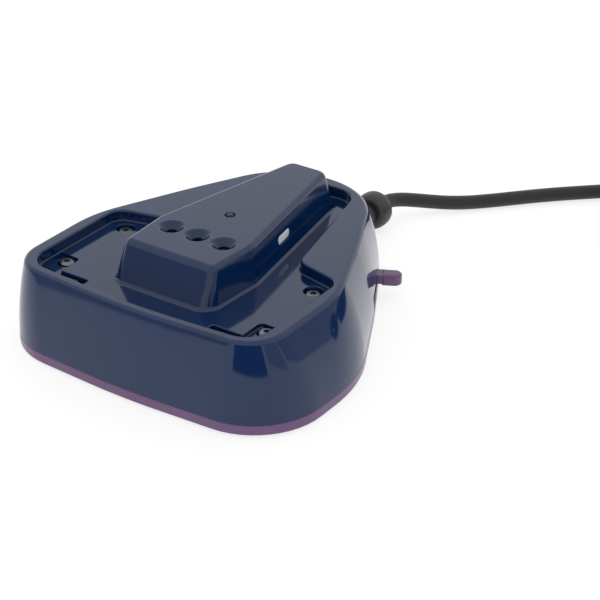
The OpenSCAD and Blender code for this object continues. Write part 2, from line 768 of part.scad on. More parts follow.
module indicator_board() color("#2f6b45") translate([lens_x, lens_y, lens_z]) rotate([0, 0, flank])
    translate([-lens_size[0] - 5.8, -7, -6]) cube([1.6, 14, tower_z - wall - lens_z + 6]);

// ---------- Wiring ----------

terminal_z = floor_top + 5;
module terminal_block() color("#e8e4d8") {
    difference() {
        translate([-17.5, terminal_y - 6.5, terminal_z]) cube([35, 13, 12]);
        for (i = [-1:1]) translate([i * 9, terminal_y, terminal_z + 4]) rotate([90, 0, 0])
            cylinder(d = 4.2, h = 20, center = true);
        for (i = [-1:1]) translate([i * 9, terminal_y, terminal_z + 4]) cylinder(d = 4.4, h = 9);
    }
}

module terminal_screws() color(steel) {
    for (i = [-1:1]) translate([i * 9, terminal_y, terminal_z + 6.3]) difference() {
        cylinder(d = 4, h = 5);
        translate([-2.5, -0.4, 4.2]) cube([5, 0.8, 1]);
    }
}

// Insulated lead from a terminal to the tail of contact i
module wire(i, c) color(c) {
    x = i * contact_pitch;
    tube(spline([
        [i * 9, terminal_y - 5, terminal_z + 4], [i * 9, terminal_y - 12, terminal_z + 4],
        [i * 9, terminal_y - 30, 13], [i * 10, contact_y + 34, 12.5],
        [x, contact_y + 16, 14], [x, contact_y + 5.5, 19], [x, contact_y + 2.2, block_z - block_h - 6]
    ], 3), 1.3, 8);
}

clamp_half = 10.5;
module lead_bore() {
    translate([0, clamp_y, lead_z]) rotate([90, 0, 0])
        cylinder(r = lead_r + fit_clear, h = 20, center = true);
}

module clamp_seat() {
    difference() {
        translate([-clamp_half - 4, clamp_y - 4, floor_top - eps])
            cube([2 * clamp_half + 8, 8, lead_z - floor_top - 0.4]);
        lead_bore();
    }
}

module lead_clamp() color(black) {
    difference() {
        translate([-clamp_half - 4, clamp_y - 4, lead_z]) cube([2 * clamp_half + 8, 8, lead_r + 2.6]);
        lead_bore();
        for (s = [-1, 1]) translate([s * clamp_half, clamp_y, 0])
            cylinder(d = screw_d + 2 * fit_clear, h = 40);
    }
}

module clamp_screws() color(steel) {
    top = lead_z + lead_r + 2.6;
    for (s = [-1, 1]) translate([s * clamp_half, clamp_y, top]) screw(top - floor_top - 0.35, 5.6, 2);
}

// Lead from the clamp through the guard
module lead_tail() color(black) {
    translate([0, guard_out, lead_z]) rotate([90, 0, 0]) cylinder(d = lead_d, h = guard_out - clamp_y + 3.6);
}

// Collar behind the wall, neck and bulb
module lead_guard() color(black) {
    bore_r = lead_r + fit_clear;
    neck_r = 6.2;
    collar_r = 8.2;
    waist_r = 6.8;                // where the wall grips
    translate([0, 0, lead_z]) rotate([-90, 0, 0]) rotate_extrude($fn = 72) polygon(concat(
        [[bore_r, guard_grip - 3], [collar_r, guard_grip - 3], [collar_r, guard_grip]],
        [[waist_r, guard_grip], [waist_r, half_l + 1.5], [7.6, half_l + 1.5], [7.4, half_l + 6]],
        [[6.4, half_l + 14], [neck_r, guard_out - 12.5]],
        [for (a = [-70:10:90]) [neck_r + (guard_d / 2 - neck_r) * cos(a), guard_out - 6 + 5.6 * sin(a)]],
        [[neck_r, guard_out], [bore_r, guard_out]]
    ));
}

module lead() color(black) {
    tube(lead_route, lead_r, 10);
    tube(coil_exit, lead_r, 10);
}

module lead_coil() color(black) translate([coil_at[0], coil_at[1], 0]) {
    rotate_extrude($fn = 96) translate([coil_mid, 0]) polygon([
        [-coil_half + 2, 0], [coil_half - 2, 0], [coil_half, 2], [coil_half, coil_layers * lead_d - 2],
        [coil_half - 2, coil_layers * lead_d], [-coil_half + 2, coil_layers * lead_d],
        [-coil_half, coil_layers * lead_d - 2], [-coil_half, 2]
    ]);
}

module lead_tie() color(black) translate([coil_at[0], coil_at[1], 0]) rotate([0, 0, tie_angle])
    translate([coil_mid, 0, 0]) {
        h = coil_layers * lead_d;
        difference() {
            translate([-coil_half - 1.4, -5, 0]) cube([2 * coil_half + 2.8, 10, h + 1.2]);
            translate([-coil_half, -6, 1]) cube([2 * coil_half, 12, h - 1]);
        }
    }

// ---------- Plug ----------

module at_plug() {
    translate([plug_x, plug_back, plug_z]) rotate([90, 0, 0]) children();
}

module plug_body() color(black) at_plug() {
    difference() {
        rotate_extrude($fn = 96) polygon([
            [0, 0], [8, 0], [12, 3], [plug_r - 1.6, 12], [plug_r, 20], [plug_r, plug_len - 1.2],
            [plug_r - 1.2, plug_len], [0, plug_len]
        ]);
        for (s = [-1, 1]) rotate([0, 0, 90]) translate([s * (plug_r - 1.1), 0, plug_len - 15])
            translate([-2.3, -2.6, 0]) cube([4.6, 5.2, 20]);
    }
}

module plug_pins() color(steel) at_plug() {
    for (s = [-1, 1]) translate([s * pin_pitch / 2, 0, plug_len]) {
        cylinder(d = pin_d, h = pin_len - 2);
        translate([0, 0, pin_len - 2]) cylinder(d1 = pin_d, d2 = pin_d - 2, h = 2);
    }
}

module plug_earth_strips() color(steel) at_plug() {
    for (s = [-1, 1]) rotate([0, 0, 90]) translate([s * (plug_r - 2.6), 0, plug_len - 14.6])
        translate([-0.6, -2, 0]) cube([1.2, 4, 14]);
}

module plug_relief() color(black) at_plug() {
    translate([0, 0, -relief_len]) difference() {
        cylinder(d1 = lead_d + 2.4, d2 = 15, h = relief_len);
        for (i = [0:3]) translate([0, 0, 4 + i * 4.6]) difference() {
            cylinder(d = 30, h = 1.6);
            translate([0, 0, -1]) cylinder(d = lead_d + 1.6, h = 4);
        }
    }
}

upper_housing();
tower_wall();
tower_top_plate();
base_plate();
foot([-foot_front[0], foot_front[1]]);  // foot_front_left
foot(foot_front);  // foot_front_right
foot([-foot_rear[0], foot_rear[1]]);  // foot_rear_left
foot(foot_rear);  // foot_rear_right
well_screws();
base_screws();
lock_lever();
lever_keepers();
keeper_screws();
latch_bar();
detent_spring();
detent_screw();
connector_block();
connector_screws();
contact_seal();
contact(-1);  // live_contact
contact(0);  // earth_contact
contact(1);  // neutral_contact
presence_plunger();
plunger_spring();
plunger_guide();
guide_screws();
microswitch_body();
microswitch_button();
microswitch_terminals();
indicator_lens();
indicator_led();
indicator_board();
terminal_block();
terminal_screws();
wire(-1, "#7a4a2a");  // live_wire
wire(1, "#2d62b0");  // neutral_wire
wire(0, "#9bb03a");  // earth_wire
lead_clamp();
clamp_screws();
lead_tail();
lead_guard();
lead();
lead_coil();
lead_tie();
plug_body();
plug_pins();
plug_earth_strips();
plug_relief();
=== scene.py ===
# Docking base of a cordless steam iron: looks, finishes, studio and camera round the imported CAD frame.
import math
import bmesh
import bpy
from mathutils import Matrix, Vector


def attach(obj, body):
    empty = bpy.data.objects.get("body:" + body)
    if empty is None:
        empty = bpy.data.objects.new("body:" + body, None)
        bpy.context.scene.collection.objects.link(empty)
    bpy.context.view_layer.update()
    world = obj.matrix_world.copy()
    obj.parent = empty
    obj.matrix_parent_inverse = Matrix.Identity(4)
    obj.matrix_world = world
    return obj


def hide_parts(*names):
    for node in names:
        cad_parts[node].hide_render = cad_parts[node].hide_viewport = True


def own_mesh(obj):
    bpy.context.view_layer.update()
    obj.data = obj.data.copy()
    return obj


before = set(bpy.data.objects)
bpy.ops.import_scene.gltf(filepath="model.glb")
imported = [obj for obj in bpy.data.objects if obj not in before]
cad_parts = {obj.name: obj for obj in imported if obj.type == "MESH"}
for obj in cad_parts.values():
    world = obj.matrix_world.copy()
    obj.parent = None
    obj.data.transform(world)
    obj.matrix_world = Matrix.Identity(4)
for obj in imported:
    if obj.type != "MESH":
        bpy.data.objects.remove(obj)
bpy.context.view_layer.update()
mm = 0.001
print("frame loaded:", len(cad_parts), "nodes")

# ---- camera ----

camera = {"azimuth": 34.9, "elevation": 29.2, "distance": 0.984, "target": (0.0131, 0.0323, 0.0), "lens": 120}


def makeCamera(settings):
    azimuth, elevation = math.radians(settings["azimuth"]), math.radians(settings["elevation"])
    back = Vector((math.sin(azimuth) * math.cos(elevation), -math.cos(azimuth) * math.cos(elevation),
                   math.sin(elevation)))
    data = bpy.data.cameras.new("camera")
    data.lens, data.sensor_width = settings["lens"], 36
    data.clip_start, data.clip_end = 0.01, 30
    obj = bpy.data.objects.new("camera", data)
    bpy.context.scene.collection.objects.link(obj)
    obj.location = Vector(settings["target"]) + back * settings["distance"]
    obj.rotation_euler = (-back).to_track_quat("-Z", "Y").to_euler()
    bpy.context.scene.camera = obj


makeCamera(camera)
print("camera set")

# ---- the lead: free stretch, coil and the run to the plug, in millimetres ----

lead = {"diameter": 7.5, "exit": (0, 124, 10.5), "sides": 20, "ringGap": 3.0, "strandsRound": 14,
        "coilCentre": (152, 212), "coilStart": 130, "coilSweep": 2290, "coilRadius": 48.5, "coilHeight": 3.9,
        "ringSteps": ((260, 100, -7.5), (620, 100, -7.5), (1275, 90, 7.5), (1635, 90, 7.5)),
        "layerSteps": ((975, 60, 7.35), (1990, 60, 7.5))}  # steps: swept degrees, degrees taken, change in mm
leadRoute = [(0, 124, 10.5), (0, 128, 10.5), (1, 133, 10.2), (4, 139, 9.2), (9, 145, 7.8), (15, 151, 6.3),
             (22, 157.5, 5), (29, 164.5, 4.2), (36, 172, 3.9), (43, 179.5, 3.9), (52, 189.5, 3.9),
             (62, 200, 3.9), (73, 210.5, 3.9), (84, 220.5, 3.9), (94, 229, 3.9), (101, 234.5, 3.9)]
plugRun = [(200.5, 205, 18.75), (200.5, 197, 18.75), (200.5, 190, 18.4), (200.5, 184, 18.4)]


def eased(t):
    t = max(0.0, min(1.0, t))
    return t * t * (3 - 2 * t)


# Swept angle round the coil, clockwise from above, to a place on it
def onCoil(swept, settings):
    radius, height = settings["coilRadius"], settings["coilHeight"]
    radius += sum(change * eased((swept - start) / over) for start, over, change in settings["ringSteps"])
    height += sum(change * eased((swept - start) / over) for start, over, change in settings["layerSteps"])
    angle = math.radians(settings["coilStart"] - swept)
    x, y = settings["coilCentre"]
    return (x + radius * math.cos(angle), y + radius * math.sin(angle), height)


# Smooth curve through the given points, with a ring of the lead about every gap
def throughPoints(points, gap):
    result = []
    for i in range(len(points) - 1):
        a, b = Vector(points[max(i - 1, 0)]), Vector(points[i])
        c, d = Vector(points[i + 1]), Vector(points[min(i + 2, len(points) - 1)])
        steps = max(2, round((c - b).length / gap))
        for k in range(steps):
            t = k / steps
            result.append(0.5 * (2 * b + (c - a) * t + (2 * a - 5 * b + 4 * c - d) * t * t
                                 + (3 * b - a - 3 * c + d) * t ** 3))
    return result + [Vector(points[-1])]


# The free route leads into the coil, and the coil into the run to the plug, each without a kink
def leadPath(settings):
    gap, sweep = settings["ringGap"], settings["coilSweep"]
    first, second = Vector(onCoil(0, settings)), Vector(onCoil(6, settings))
    free = throughPoints(leadRoute + [first, second], gap)
    free = free[:-1 - round((second - first).length / gap)]
    coil = [Vector(onCoil(swept, settings)) for swept in range(0, sweep, 4)]
    tail = throughPoints([onCoil(sweep - 8, settings), onCoil(sweep, settings)] + plugRun, gap)
    return free + coil + [point for point in tail if point.y < settings["coilCentre"][1] - 0.8]


def makeLead(settings):
    path = leadPath(settings)
    radius, sides = settings["diameter"] / 2, settings["sides"]
    mesh = bmesh.new()
    uv = mesh.loops.layers.uv.new("UVMap")
    across, rings, along = Vector((1, 0, 0)), [], [0.0]
    for i, here in enumerate(path):
        ahead = (path[min(i + 1, len(path) - 1)] - path[max(i - 1, 0)]).normalized()
        across = (across - ahead * across.dot(ahead)).normalized()
        up = ahead.cross(across)
        rings.append([mesh.verts.new((here + (across * math.cos(t) + up * math.sin(t)) * radius) * mm)
                      for t in [2 * math.pi * k / sides for k in range(sides)]])
        if i:
            along.append(along[-1] + (here - path[i - 1]).length)
    roundabout = 2 * math.pi * radius
    for i in range(len(path) - 1):
        for k in range(sides):
            n = (k + 1) % sides
            face = mesh.faces.new((rings[i][k], rings[i][n], rings[i + 1][n], rings[i + 1][k]))
            face.smooth = True
            marks = ((k, i), (k + 1, i), (k + 1, i + 1), (k, i + 1))
            for loop, (u, v) in zip(face.loops, marks):
                loop[uv].uv = (u / sides, along[v] / roundabout)
    mesh.faces.new(list(reversed(rings[0])))
    mesh.faces.new(rings[-1])
    bmesh.ops.recalc_face_normals(mesh, faces=mesh.faces)
    data = bpy.data.meshes.new("textile_lead")
    mesh.to_mesh(data)
    obj = bpy.data.objects.new("textile_lead", data)
    bpy.context.scene.collection.objects.link(obj)
    return obj, path, along[-1]


textileLead, leadLine, leadLength = makeLead(lead)
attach(textileLead, "root")
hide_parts("lead", "lead_coil")
print("lead laid out, mm:", round(leadLength))

# ---- finishes ----


# A node socket that takes part in sums; numbers alone stay numbers
class Wire:
    def __init__(self, finish, socket):
        self.finish, self.socket = finish, socket

    def math(self, operation, first, second=None):
        return self.finish.node("ShaderNodeMath", {"operation": operation}, {0: first, 1: second})

    def __add__(self, other): return self.math("ADD", self, other)
    def __radd__(self, other): return self.math("ADD", other, self)
    def __sub__(self, other): return self.math("SUBTRACT", self, other)
    def __rsub__(self, other): return self.math("SUBTRACT", other, self)
    def __mul__(self, other): return self.math("MULTIPLY", self, other)
    def __rmul__(self, other): return self.math("MULTIPLY", other, self)
    def __gt__(self, other): return self.math("GREATER_THAN", self, other)
    def __abs__(self): return self.math("ABSOLUTE", self)
    def sine(self): return self.math("SINE", self)


class Finish:
    def __init__(self, name, **fixed):
        self.material = bpy.data.materials.new(name)
        self.material.use_nodes = True
        self.tree = self.material.node_tree
        self.shader = self.tree.nodes["Principled BSDF"]
        for socket, value in fixed.items():
            self.shader.inputs[socket.replace("_", " ")].default_value = value

    def node(self, kind, settings=None, inputs=None, output=0):
        made = self.tree.nodes.new(kind)
        for key, value in (settings or {}).items():
            if key == "stops":
                ramp = made.color_ramp
                while len(ramp.elements) < len(value):
                    ramp.elements.new(0.5)
                for element, (position, colour) in zip(ramp.elements, value):
                    element.position, element.color = position, (*colour, 1)
            else:
                setattr(made, key, value)
        for key, value in (inputs or {}).items():
            if isinstance(value, Wire):
                self.tree.links.new(value.socket, made.inputs[key])
            elif value is not None:
                made.inputs[key].default_value = value
        return Wire(self, made.outputs[output])

    def feed(self, socket, wire):
        self.tree.links.new(wire.socket, self.shader.inputs[socket])

    def place(self, stretch=(1, 1, 1)):
        coordinates = self.node("ShaderNodeTexCoord", output="Object")
        return self.node("ShaderNodeMapping", None, {"Vector": coordinates, "Scale": stretch})

    def noise(self, scale, detail=4, vector=None, roughness=0.55):
        return self.node("ShaderNodeTexNoise", None, {"Vector": vector or self.place(), "Scale": scale,
                                                      "Detail": detail, "Roughness": roughness})

    def colours(self, amount, stops):
        self.feed("Base Color", self.node("ShaderNodeValToRGB", {"stops": stops}, {"Fac": amount}))

    def relief(self, height, distance, strength=1.0):
        self.feed("Normal", self.node("ShaderNodeBump", None, {"Height": height, "Distance": distance,
                                                               "Strength": strength}))


def shade(colour, by):
    return tuple(max(0.0, channel * by) for channel in colour)


# Moulded plastic or rubber: slow colour drift, fine grain, handling marks in the gloss
def moulded(name, settings):
    finish = Finish(name, IOR=settings.get("ior", 1.5))
    drift = finish.noise(settings["drift"], 3)
    marks = finish.noise(settings["marks"], 6, roughness=0.7)
    grain = finish.noise(settings["grain"], 2)
    tone = drift * 0.7 + marks * 0.3
    colour, spread = settings["colour"], settings["spread"]
    finish.colours(tone, [(0.3, shade(colour, 1 - spread)), (0.7, shade(colour, 1 + spread))])
    finish.feed("Roughness", (marks - 0.5) * settings["markDepth"] + settings["roughness"])
    finish.relief(grain, settings["grainHeight"], settings.get("grainStrength", 0.3))
    return finish


def metal(name, settings):
    finish = Finish(name, IOR=1.5)
    lines = finish.noise(settings["lines"], 3, finish.place(settings["stretch"]))
    tarnish = finish.noise(settings["tarnish"], 5)
    colour = settings["colour"]
    finish.colours(tarnish, [(0.35, shade(colour, 0.72)), (0.65, shade(colour, 1.08))])
    finish.feed("Metallic", 1 - (tarnish > 0.72) * 0.25)
    finish.feed("Roughness", lines * 0.16 + tarnish * 0.14 + settings["roughness"])
    finish.relief(lines, 0.00002, 0.25)
    return finish


plastics = {
    "navy_plastic": {"ior": 1.47, "colour": (0.0018, 0.0155, 0.064), "spread": 0.16, "drift": 26,
                     "marks": 140, "markDepth": 0.05, "roughness": 0.085, "grain": 1300,
                     "grainHeight": 0.000006, "grainStrength": 0.12},
    "purple_plastic": {"colour": (0.116, 0.057, 0.146), "spread": 0.09, "drift": 30, "marks": 160,
                       "markDepth": 0.1, "roughness": 0.25, "grain": 1500, "grainHeight": 0.00001},
    "black_rubber": {"colour": (0.017, 0.017, 0.0175), "spread": 0.2, "drift": 60, "marks": 260,
                     "markDepth": 0.2, "roughness": 0.42, "grain": 1800, "grainHeight": 0.00003},
    "black_plastic": {"colour": (0.02, 0.02, 0.021), "spread": 0.15, "drift": 50, "marks": 200,
                      "markDepth": 0.15, "roughness": 0.34, "grain": 1600, "grainHeight": 0.00002},
    "pale_silicone": {"colour": (0.55, 0.56, 0.54), "spread": 0.06, "drift": 80, "marks": 300,
                      "markDepth": 0.15, "roughness": 0.5, "grain": 1500, "grainHeight": 0.00002},
    "red_plastic": {"colour": (0.55, 0.045, 0.03), "spread": 0.08, "drift": 120, "marks": 400,
                    "markDepth": 0.1, "roughness": 0.35, "grain": 2500, "grainHeight": 0.00001},
    "led_epoxy": {"colour": (0.82, 0.8, 0.68), "spread": 0.04, "drift": 200, "marks": 600,
                  "markDepth": 0.05, "roughness": 0.12, "grain": 3000, "grainHeight": 0.000005},
    "cream_plastic": {"colour": (0.72, 0.68, 0.54), "spread": 0.05, "drift": 70, "marks": 300,
                      "markDepth": 0.12, "roughness": 0.4, "grain": 1600, "grainHeight": 0.00002},
    "brown_sleeve": {"colour": (0.16, 0.06, 0.025), "spread": 0.1, "drift": 120, "marks": 500,
                     "markDepth": 0.12, "roughness": 0.38, "grain": 2500, "grainHeight": 0.00001},
    "blue_sleeve": {"colour": (0.03, 0.12, 0.42), "spread": 0.1, "drift": 120, "marks": 500,
                    "markDepth": 0.12, "roughness": 0.38, "grain": 2500, "grainHeight": 0.00001},
    "tie_strap": {"colour": (0.022, 0.022, 0.023), "spread": 0.3, "drift": 500, "marks": 1800,
                  "markDepth": 0.1, "roughness": 0.85, "grain": 2600, "grainHeight": 0.0002},
    "plug_plastic": {"colour": (0.018, 0.018, 0.019), "spread": 0.15, "drift": 60, "marks": 240,
                     "markDepth": 0.16, "roughness": 0.36, "grain": 1400, "grainHeight": 0.00003},
}
metals = {
    "zinc_steel": {"colour": (0.2, 0.21, 0.24), "lines": 900, "stretch": (1, 1, 0.1), "tarnish": 420,
                   "roughness": 0.2},
    "spring_steel": {"colour": (0.42, 0.43, 0.45), "lines": 1200, "stretch": (0.1, 1, 1), "tarnish": 300,
                     "roughness": 0.18},
    "contact_brass": {"colour": (0.56, 0.42, 0.17), "lines": 1000, "stretch": (1, 1, 0.08), "tarnish": 260,
                      "roughness": 0.16},
    "plated_pins": {"colour": (0.66, 0.65, 0.62), "lines": 1000, "stretch": (1, 0.08, 1), "tarnish": 300,
                    "roughness": 0.1},
}


def lensFinish():
    finish = Finish("white_lens", IOR=1.49, Subsurface_Weight=0.25, Subsurface_Scale=0.002)
    cloud = finish.noise(320, 3)
    marks = finish.noise(1500, 4)
    finish.colours(cloud, [(0.3, (0.64, 0.67, 0.7)), (0.7, (0.71, 0.73, 0.75))])
    finish.feed("Roughness", marks * 0.12 + 0.16)
    finish.relief(marks, 0.00001, 0.2)
    return finish


def earthFinish():
    finish = Finish("earth_sleeve", IOR=1.5)
    around = finish.noise(160, 2)
    along = finish.node("ShaderNodeSeparateXYZ", None, {"Vector": finish.place((900, 900, 900))})
    stripe = (along + around * 3).sine() > 0
    finish.colours(stripe, [(0.45, (0.1, 0.3, 0.04)), (0.55, (0.75, 0.6, 0.05))])
    finish.feed("Roughness", finish.noise(900, 4) * 0.15 + 0.32)
    return finish


def boardFinish():
    finish = Finish("circuit_board", IOR=1.5)
    weave = finish.noise(700, 2, finish.place((1, 1, 4)))
    copper = finish.node("ShaderNodeTexBrick", {"offset": 0.5}, {"Vector": finish.place(), "Scale": 160},
                         "Fac")
    finish.colours(weave * 0.4 + copper * 0.5, [(0.2, (0.015, 0.09, 0.03)), (0.8, (0.04, 0.2, 0.07))])
    finish.feed("Roughness", weave * 0.2 + 0.3)
    return finish


# Diagonal strands that pass over and under each other, along the lead's own map
def braidFinish(settings):
    finish = Finish("textile_braid", IOR=1.45, Sheen_Weight=0.25, Sheen_Roughness=0.5)
    u = finish.node("ShaderNodeSeparateXYZ", None, {"Vector": finish.node("ShaderNodeTexCoord", output="UV")})
    v = Wire(finish, u.socket.node.outputs["Y"])
    turns = math.pi * settings["strandsRound"]
    right, left = ((u + v) * turns).sine(), ((u - v) * turns).sine()
    over = right * left > 0
    height = abs(right) * over + abs(left) * (1 - over)
    fibre = finish.noise(2600, 3, finish.place())
    # Colour is painted shade darker where the strands dip into the grooves between them, mixed with random fibre
    # tone.
    tone = height * 0.6 + fibre * 0.4
    finish.colours(tone, [(0.15, (0.006, 0.006, 0.0063)), (0.85, (0.024, 0.024, 0.025))])
    finish.feed("Roughness", fibre * 0.2 + 0.72)
    finish.relief(height + fibre * 0.35, 0.00028, 0.7)
    return finish


def sheathFinish():
    finish = Finish("lead_sheath", IOR=1.45)
    weave = finish.node("ShaderNodeTexWave", {"bands_direction": "DIAGONAL"},
                        {"Vector": finish.place(), "Scale": 260, "Distortion": 0.5}, "Fac")
    fibre = finish.noise(2600, 3)
    finish.colours(weave * 0.6 + fibre * 0.4, [(0.2, (0.012, 0.012, 0.0125)), (0.8, (0.042, 0.042, 0.043))])
    finish.feed("Roughness", fibre * 0.2 + 0.72)
    return finish


finishes = {name: moulded(name, settings) for name, settings in plastics.items()}
finishes.update({name: metal(name, settings) for name, settings in metals.items()})
finishes.update({"white_lens": lensFinish(), "earth_sleeve": earthFinish(), "circuit_board": boardFinish(),
                 "textile_braid": braidFinish(lead), "lead_sheath": sheathFinish()})


def coat(obj, name):
    obj.data.materials.clear()
    obj.data.materials.append(finishes[name].material)


coat(textileLead, "textile_braid")
print("finishes made:", len(finishes))

# ---- small modelling helpers ----


def deselectAll():
    if bpy.context.object and bpy.context.object.mode != "OBJECT":
        bpy.ops.object.mode_set(mode="OBJECT")
    bpy.ops.object.select_all(action="DESELECT")


def pick(obj):
    deselectAll()
    obj.select_set(True)
    bpy.context.view_layer.objects.active = obj
    return obj


def applyModifier(obj, kind, **settings):
    pick(obj)
    modifier = obj.modifiers.new(kind.lower(), kind)
    for key, value in settings.items():
        setattr(modifier, key, value)
    bpy.ops.object.modifier_apply(modifier=modifier.name)


def cleaned(obj, merge=2e-6):
    pick(obj)
    bpy.ops.object.mode_set(mode="EDIT")
    bpy.ops.mesh.select_all(action="SELECT")
    bpy.ops.mesh.remove_doubles(threshold=merge)
    bpy.ops.mesh.normals_make_consistent(inside=False)
    bpy.ops.object.mode_set(mode="OBJECT")
    return obj


def cut(obj, *cutters, operation="DIFFERENCE"):
    for cutter in cutters:
        applyModifier(obj, "BOOLEAN", object=cutter, operation=operation, solver="EXACT")
        bpy.data.objects.remove(cutter)
    return obj


def joined(obj, *others):
    return cut(obj, *others, operation="UNION")


def grouped(obj, *others):
    pick(obj)
    for other in others:
        other.select_set(True)
    bpy.ops.object.join()
    return obj


# A circle primitive set to the first outline, then extruded outline by outline
def loft(name, rings, closed=True):
    deselectAll()
    count = len(rings[0])
    bpy.ops.mesh.primitive_circle_add(vertices=count, radius=1, fill_type="NOTHING")
    obj = bpy.context.object
    obj.name = obj.data.name = name
    for vertex, point in zip(obj.data.vertices, rings[0]):
        vertex.co = Vector(point) * mm
    bpy.ops.object.mode_set(mode="EDIT")
    bpy.ops.mesh.select_mode(type="VERT")
    bpy.ops.mesh.select_all(action="SELECT")
    placeOf = {i: i for i in range(count)}
    for ring in rings[1:]:
        bpy.ops.mesh.extrude_region_move()
        mesh = bmesh.from_edit_mesh(obj.data)
        mesh.verts.index_update()
        fresh = {}
        for vertex in mesh.verts:
            if vertex.select:
                ends = [edge.other_vert(vertex) for edge in vertex.link_edges]
                place = placeOf[next(end for end in ends if not end.select).index]
                fresh[vertex.index] = place
                vertex.co = Vector(ring[place]) * mm
        placeOf = fresh
        bmesh.update_edit_mesh(obj.data)
    if closed:
        bpy.ops.mesh.edge_face_add()
        bpy.ops.mesh.select_all(action="DESELECT")
        mesh = bmesh.from_edit_mesh(obj.data)
        mesh.verts.ensure_lookup_table()
        for i in range(count):
            mesh.verts[i].select = True
        mesh.select_flush(True)
        bmesh.update_edit_mesh(obj.data)
        bpy.ops.mesh.edge_face_add()
    bpy.ops.mesh.select_all(action="SELECT")
    bpy.ops.mesh.normals_make_consistent(inside=False)
    bpy.ops.object.mode_set(mode="OBJECT")
    return obj


def smoothed(obj, angle=32, weighted=True):
    pick(obj)
    bpy.ops.object.shade_smooth_by_angle(angle=math.radians(angle))
    if weighted:
        applyModifier(obj, "WEIGHTED_NORMAL", keep_sharp=True, weight=70)
    return obj


# Round piece: rings of the given [radius, height] steps, stood on an axis by a function that places a point
def turned(name, steps, place, sides=64):
    rings = [[place(r * math.cos(2 * math.pi * i / sides), r * math.sin(2 * math.pi * i / sides), h)
              for i in range(sides)] for r, h in steps]
    return loft(name, rings)


# Quarter round from [radius, height] a towards b, bulging out at the corner
def roundOff(corner, before, after, size, steps=5):
    c, u, v = Vector(corner), Vector(before) - Vector(corner), Vector(after) - Vector(corner)
    u.normalize()
    v.normalize()
    half = u.angle(v) / 2
    reach = size / math.tan(half)
    middle = c + (u + v).normalized() * size / math.sin(half)
    start = c + u * reach - middle
    end = c + v * reach - middle
    first = math.atan2(start.y, start.x)
    sweep = (math.atan2(end.y, end.x) - first + math.pi) % (2 * math.pi) - math.pi
    angles = [first + sweep * i / steps for i in range(steps + 1)]
    return [tuple(middle + Vector((math.cos(a), math.sin(a))) * size) for a in angles]


# A profile whose corners carry a rounding: [radius, height, rounding] each
def profile(corners):
    steps = []
    for i, (r, h, size) in enumerate(corners):
        if size and 0 < i < len(corners) - 1:
            steps += roundOff((r, h), corners[i - 1][:2], corners[i + 1][:2], size)
        else:
            steps.append((r, h))
    return steps


# ---- outlines of the body ----

body = {"length": 180, "width": 166, "rim": 46, "rearWidth": 47, "shoulder": 71, "wall": 2.5, "seam": 6,
        "sideBow": 1.3, "flareSide": 11.5, "flareRear": 14, "flareFront": 4.5, "frontBow": 4.5, "foot": 1}
well = {"depth": 5.5, "rimWidth": 7}
towerHeight = 18.5
rimTaper = 3  # degrees less than at the foot
leverY = 50  # where the lever's frame stands on the right wall
halfLength, halfWidth = body["length"] / 2, body["width"] / 2
shoulderY = -halfLength + body["shoulder"]
rimHalf = halfWidth - body["flareSide"]
wellZ = body["rim"] - well["depth"]
towerZ = wellZ + towerHeight
taperAngle = math.degrees(math.atan2(halfWidth - body["rearWidth"] / 2, halfLength - shoulderY))


def rearFit(half, angle):
    return 0.97 * half / math.tan(math.radians((90 - angle) / 2))


def bothSides(half):
    return half + [(-x, y, r) for x, y, r in reversed(half) if x > 0.01]


def mixed(a, b, t):
    return [tuple(p + (q - p) * t for p, q in zip(u, v)) for u, v in zip(a, b)]


def drawnIn(corners, by):
    result = []
    for i, (x, y, r) in enumerate(corners):
        b = Vector((x, y))
        u = (Vector(corners[i - 1][:2]) - b).normalized()
        v = (Vector(corners[(i + 1) % len(corners)][:2]) - b).normalized()
        side = 1 if v.x * u.y - v.y * u.x > 0 else -1
        half = u.angle(v) / 2
        q = b + (u + v).normalized() * side * by / math.sin(half)
        result.append((q.x, q.y, max(r - side * by, 0.6)))
    return result


def rounded(corners, steps=12):
    points = []
    for i, (x, y, r) in enumerate(corners):
        points += roundOff((x, y), corners[i - 1][:2], corners[(i + 1) % len(corners)][:2], r, steps)
    return points


# Outlines as corners (x, y, rounding), the right half given from front to rear
rearRimHalf = body["rearWidth"] / 2 + 2.6
footLine = bothSides([
    (0, -halfLength, 380), (halfWidth, -halfLength + body["frontBow"], 36), (halfWidth, shoulderY, 80),
    (53.25 + body["sideBow"] * 0.878, 35.5 + body["sideBow"] * 0.479, 500),
    (body["rearWidth"] / 2, halfLength, rearFit(body["rearWidth"] / 2, taperAngle))])
rimLine = bothSides([
    (0, -halfLength + body["flareFront"], 380),
    (rimHalf, -halfLength + body["flareFront"] + body["frontBow"], 19), (rimHalf, shoulderY - 2, 62),
    ((rimHalf + rearRimHalf) / 2 + body["sideBow"] * 0.9, (shoulderY - 2 + halfLength - body["flareRear"]) / 2
     + body["sideBow"] * 0.42, 420),
    (rearRimHalf, halfLength - body["flareRear"], rearFit(rearRimHalf, taperAngle - rimTaper))])
wellLine = bothSides([
    (0, -80.5, 380), (rimHalf - well["rimWidth"], -76, 12), (rimHalf - well["rimWidth"], -11.5, 8),
    (38.3, -5.5, 8), (21.5, 68.5, 12)])
towerFoot = bothSides([(0, -61.5, 300), (28.5, -61.2, 8), (30.1, -27, 16), (14.1, 63, 8)])
towerTop = bothSides([(0, -52.7, 300), (25.3, -52.5, 3), (27, -25, 12), (10.5, 59, 5)])


def bodyLine(z):
    s = max(0, min(1, (z - body["foot"]) / (body["rim"] - body["foot"])))
    return mixed(footLine, rimLine, s * s)


def towerLine(z):
    return mixed(towerFoot, towerTop, (z - wellZ) / towerHeight)


def atHeight(corners, z, steps=12):
    return [(x, y, z) for x, y in rounded(corners, steps)]


# Place of a point given in the lever's own frame: x out of the wall, y along it to the rear
leverX = halfWidth - (leverY - shoulderY) * math.tan(math.radians(taperAngle))


